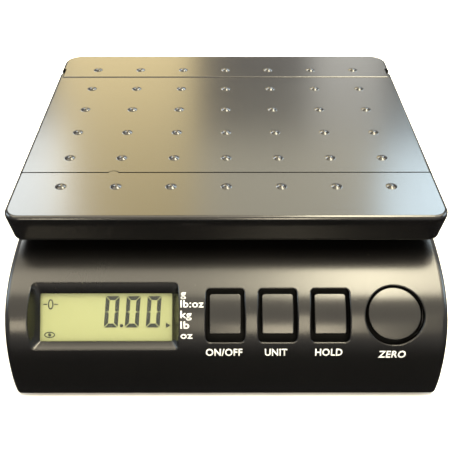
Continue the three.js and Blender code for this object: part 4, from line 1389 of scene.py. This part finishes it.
AMBER = (1.0, 0.785, 0.36)
CREAM = (1.0, 0.89, 0.67)
WARM_WHITE = (1.0, 0.98, 0.90)
COOL_WHITE = (0.80, 0.97, 1.06)
SOFT_BOXES = {  # lean, tilt, radiance and colour
    "rear_left": ((-14, -2.4), (14, 52), 4.8, AMBER),
    "rear_left_edge": ((-26, -13.2), (29, 52), 10.8, (0.95, 1.0, 1.0)),
    "rear_right": ((7.2, 13.2), (14, 29.5), 2.5, WARM_WHITE),
    "rear_right_edge": ((13.2, 26), (30.5, 48), 12.0, COOL_WHITE),
    "rear_high": ((-2.4, 13.2), (30, 52), 4.0, (1.0, 0.93, 0.70)),
    "overhead_rear": ((-40, 7), (60, 72), 2.0, CREAM),
    "overhead": ((-15, 7), (72, 110), 4.0, CREAM),
    "overhead_left": ((-45, -15), (72, 108), 7.0, CREAM),
    "overhead_right": ((7, 18), (60, 109), 33, (1.0, 0.91, 0.66)),
    "overhead_far_right": ((18, 45), (60, 106), 7.0, CREAM),
    "front_high": ((-50, 50), (113, 147), 1.2, CREAM),
    "front_low": ((3.2, 8.8), (144, 173), 25, (1.0, 0.88, 0.64)),
    "front_low_left": ((-19, -15), (152, 170), 30, (1.0, 0.88, 0.64)),
    "side_left": ((-80, -55), (30, 100), 6.0, COOL_WHITE),
    "side_right": ((55, 80), (30, 100), 6.0, COOL_WHITE),
}
WORLD_HEIGHTS = (-0.42, -0.08)  # the world is dim below the first and bright above the second
WORLD_STRENGTHS = (0.07, 0.7)


def add_lights():
    for name, (lean, tilt, radiance, colour) in SOFT_BOXES.items():
        soft_box(name, lean, tilt, radiance, colour)
    world = bpy.data.worlds.new("studio")
    world.use_nodes = True
    tree = world.node_tree
    place = tree.nodes.new("ShaderNodeTexCoord")
    split = tree.nodes.new("ShaderNodeSeparateXYZ")
    level = map_range(tree, *WORLD_HEIGHTS, *WORLD_STRENGTHS)
    tree.links.new(place.outputs["Generated"], split.inputs["Vector"])
    tree.links.new(split.outputs["Z"], level.inputs["Value"])
    background = tree.nodes["Background"]
    background.inputs["Color"].default_value = (1.0, 0.96, 0.91, 1)
    tree.links.new(level.outputs["Result"], background.inputs["Strength"])
    bpy.context.scene.world = world


CAMERA_AT = (-0.00096, -0.32445, 0.2612)
CAMERA_LENS = 59.0
CAMERA_DOWN = 36.27  # degrees below the horizon
CAMERA_RIGHT = 0.09  # degrees to the right of straight ahead


def add_camera():
    data = bpy.data.cameras.new("camera")
    data.sensor_width = 36
    data.lens = CAMERA_LENS
    data.clip_start = 0.01
    data.clip_end = 20
    camera = bpy.data.objects.new("camera", data)
    bpy.context.scene.collection.objects.link(camera)
    camera.location = CAMERA_AT
    camera.rotation_euler = Euler((math.radians(90 - CAMERA_DOWN), 0, math.radians(-CAMERA_RIGHT)))
    bpy.context.scene.camera = camera


add_floor()
add_lights()
add_camera()
bpy.context.scene.view_settings.view_transform = "Standard"
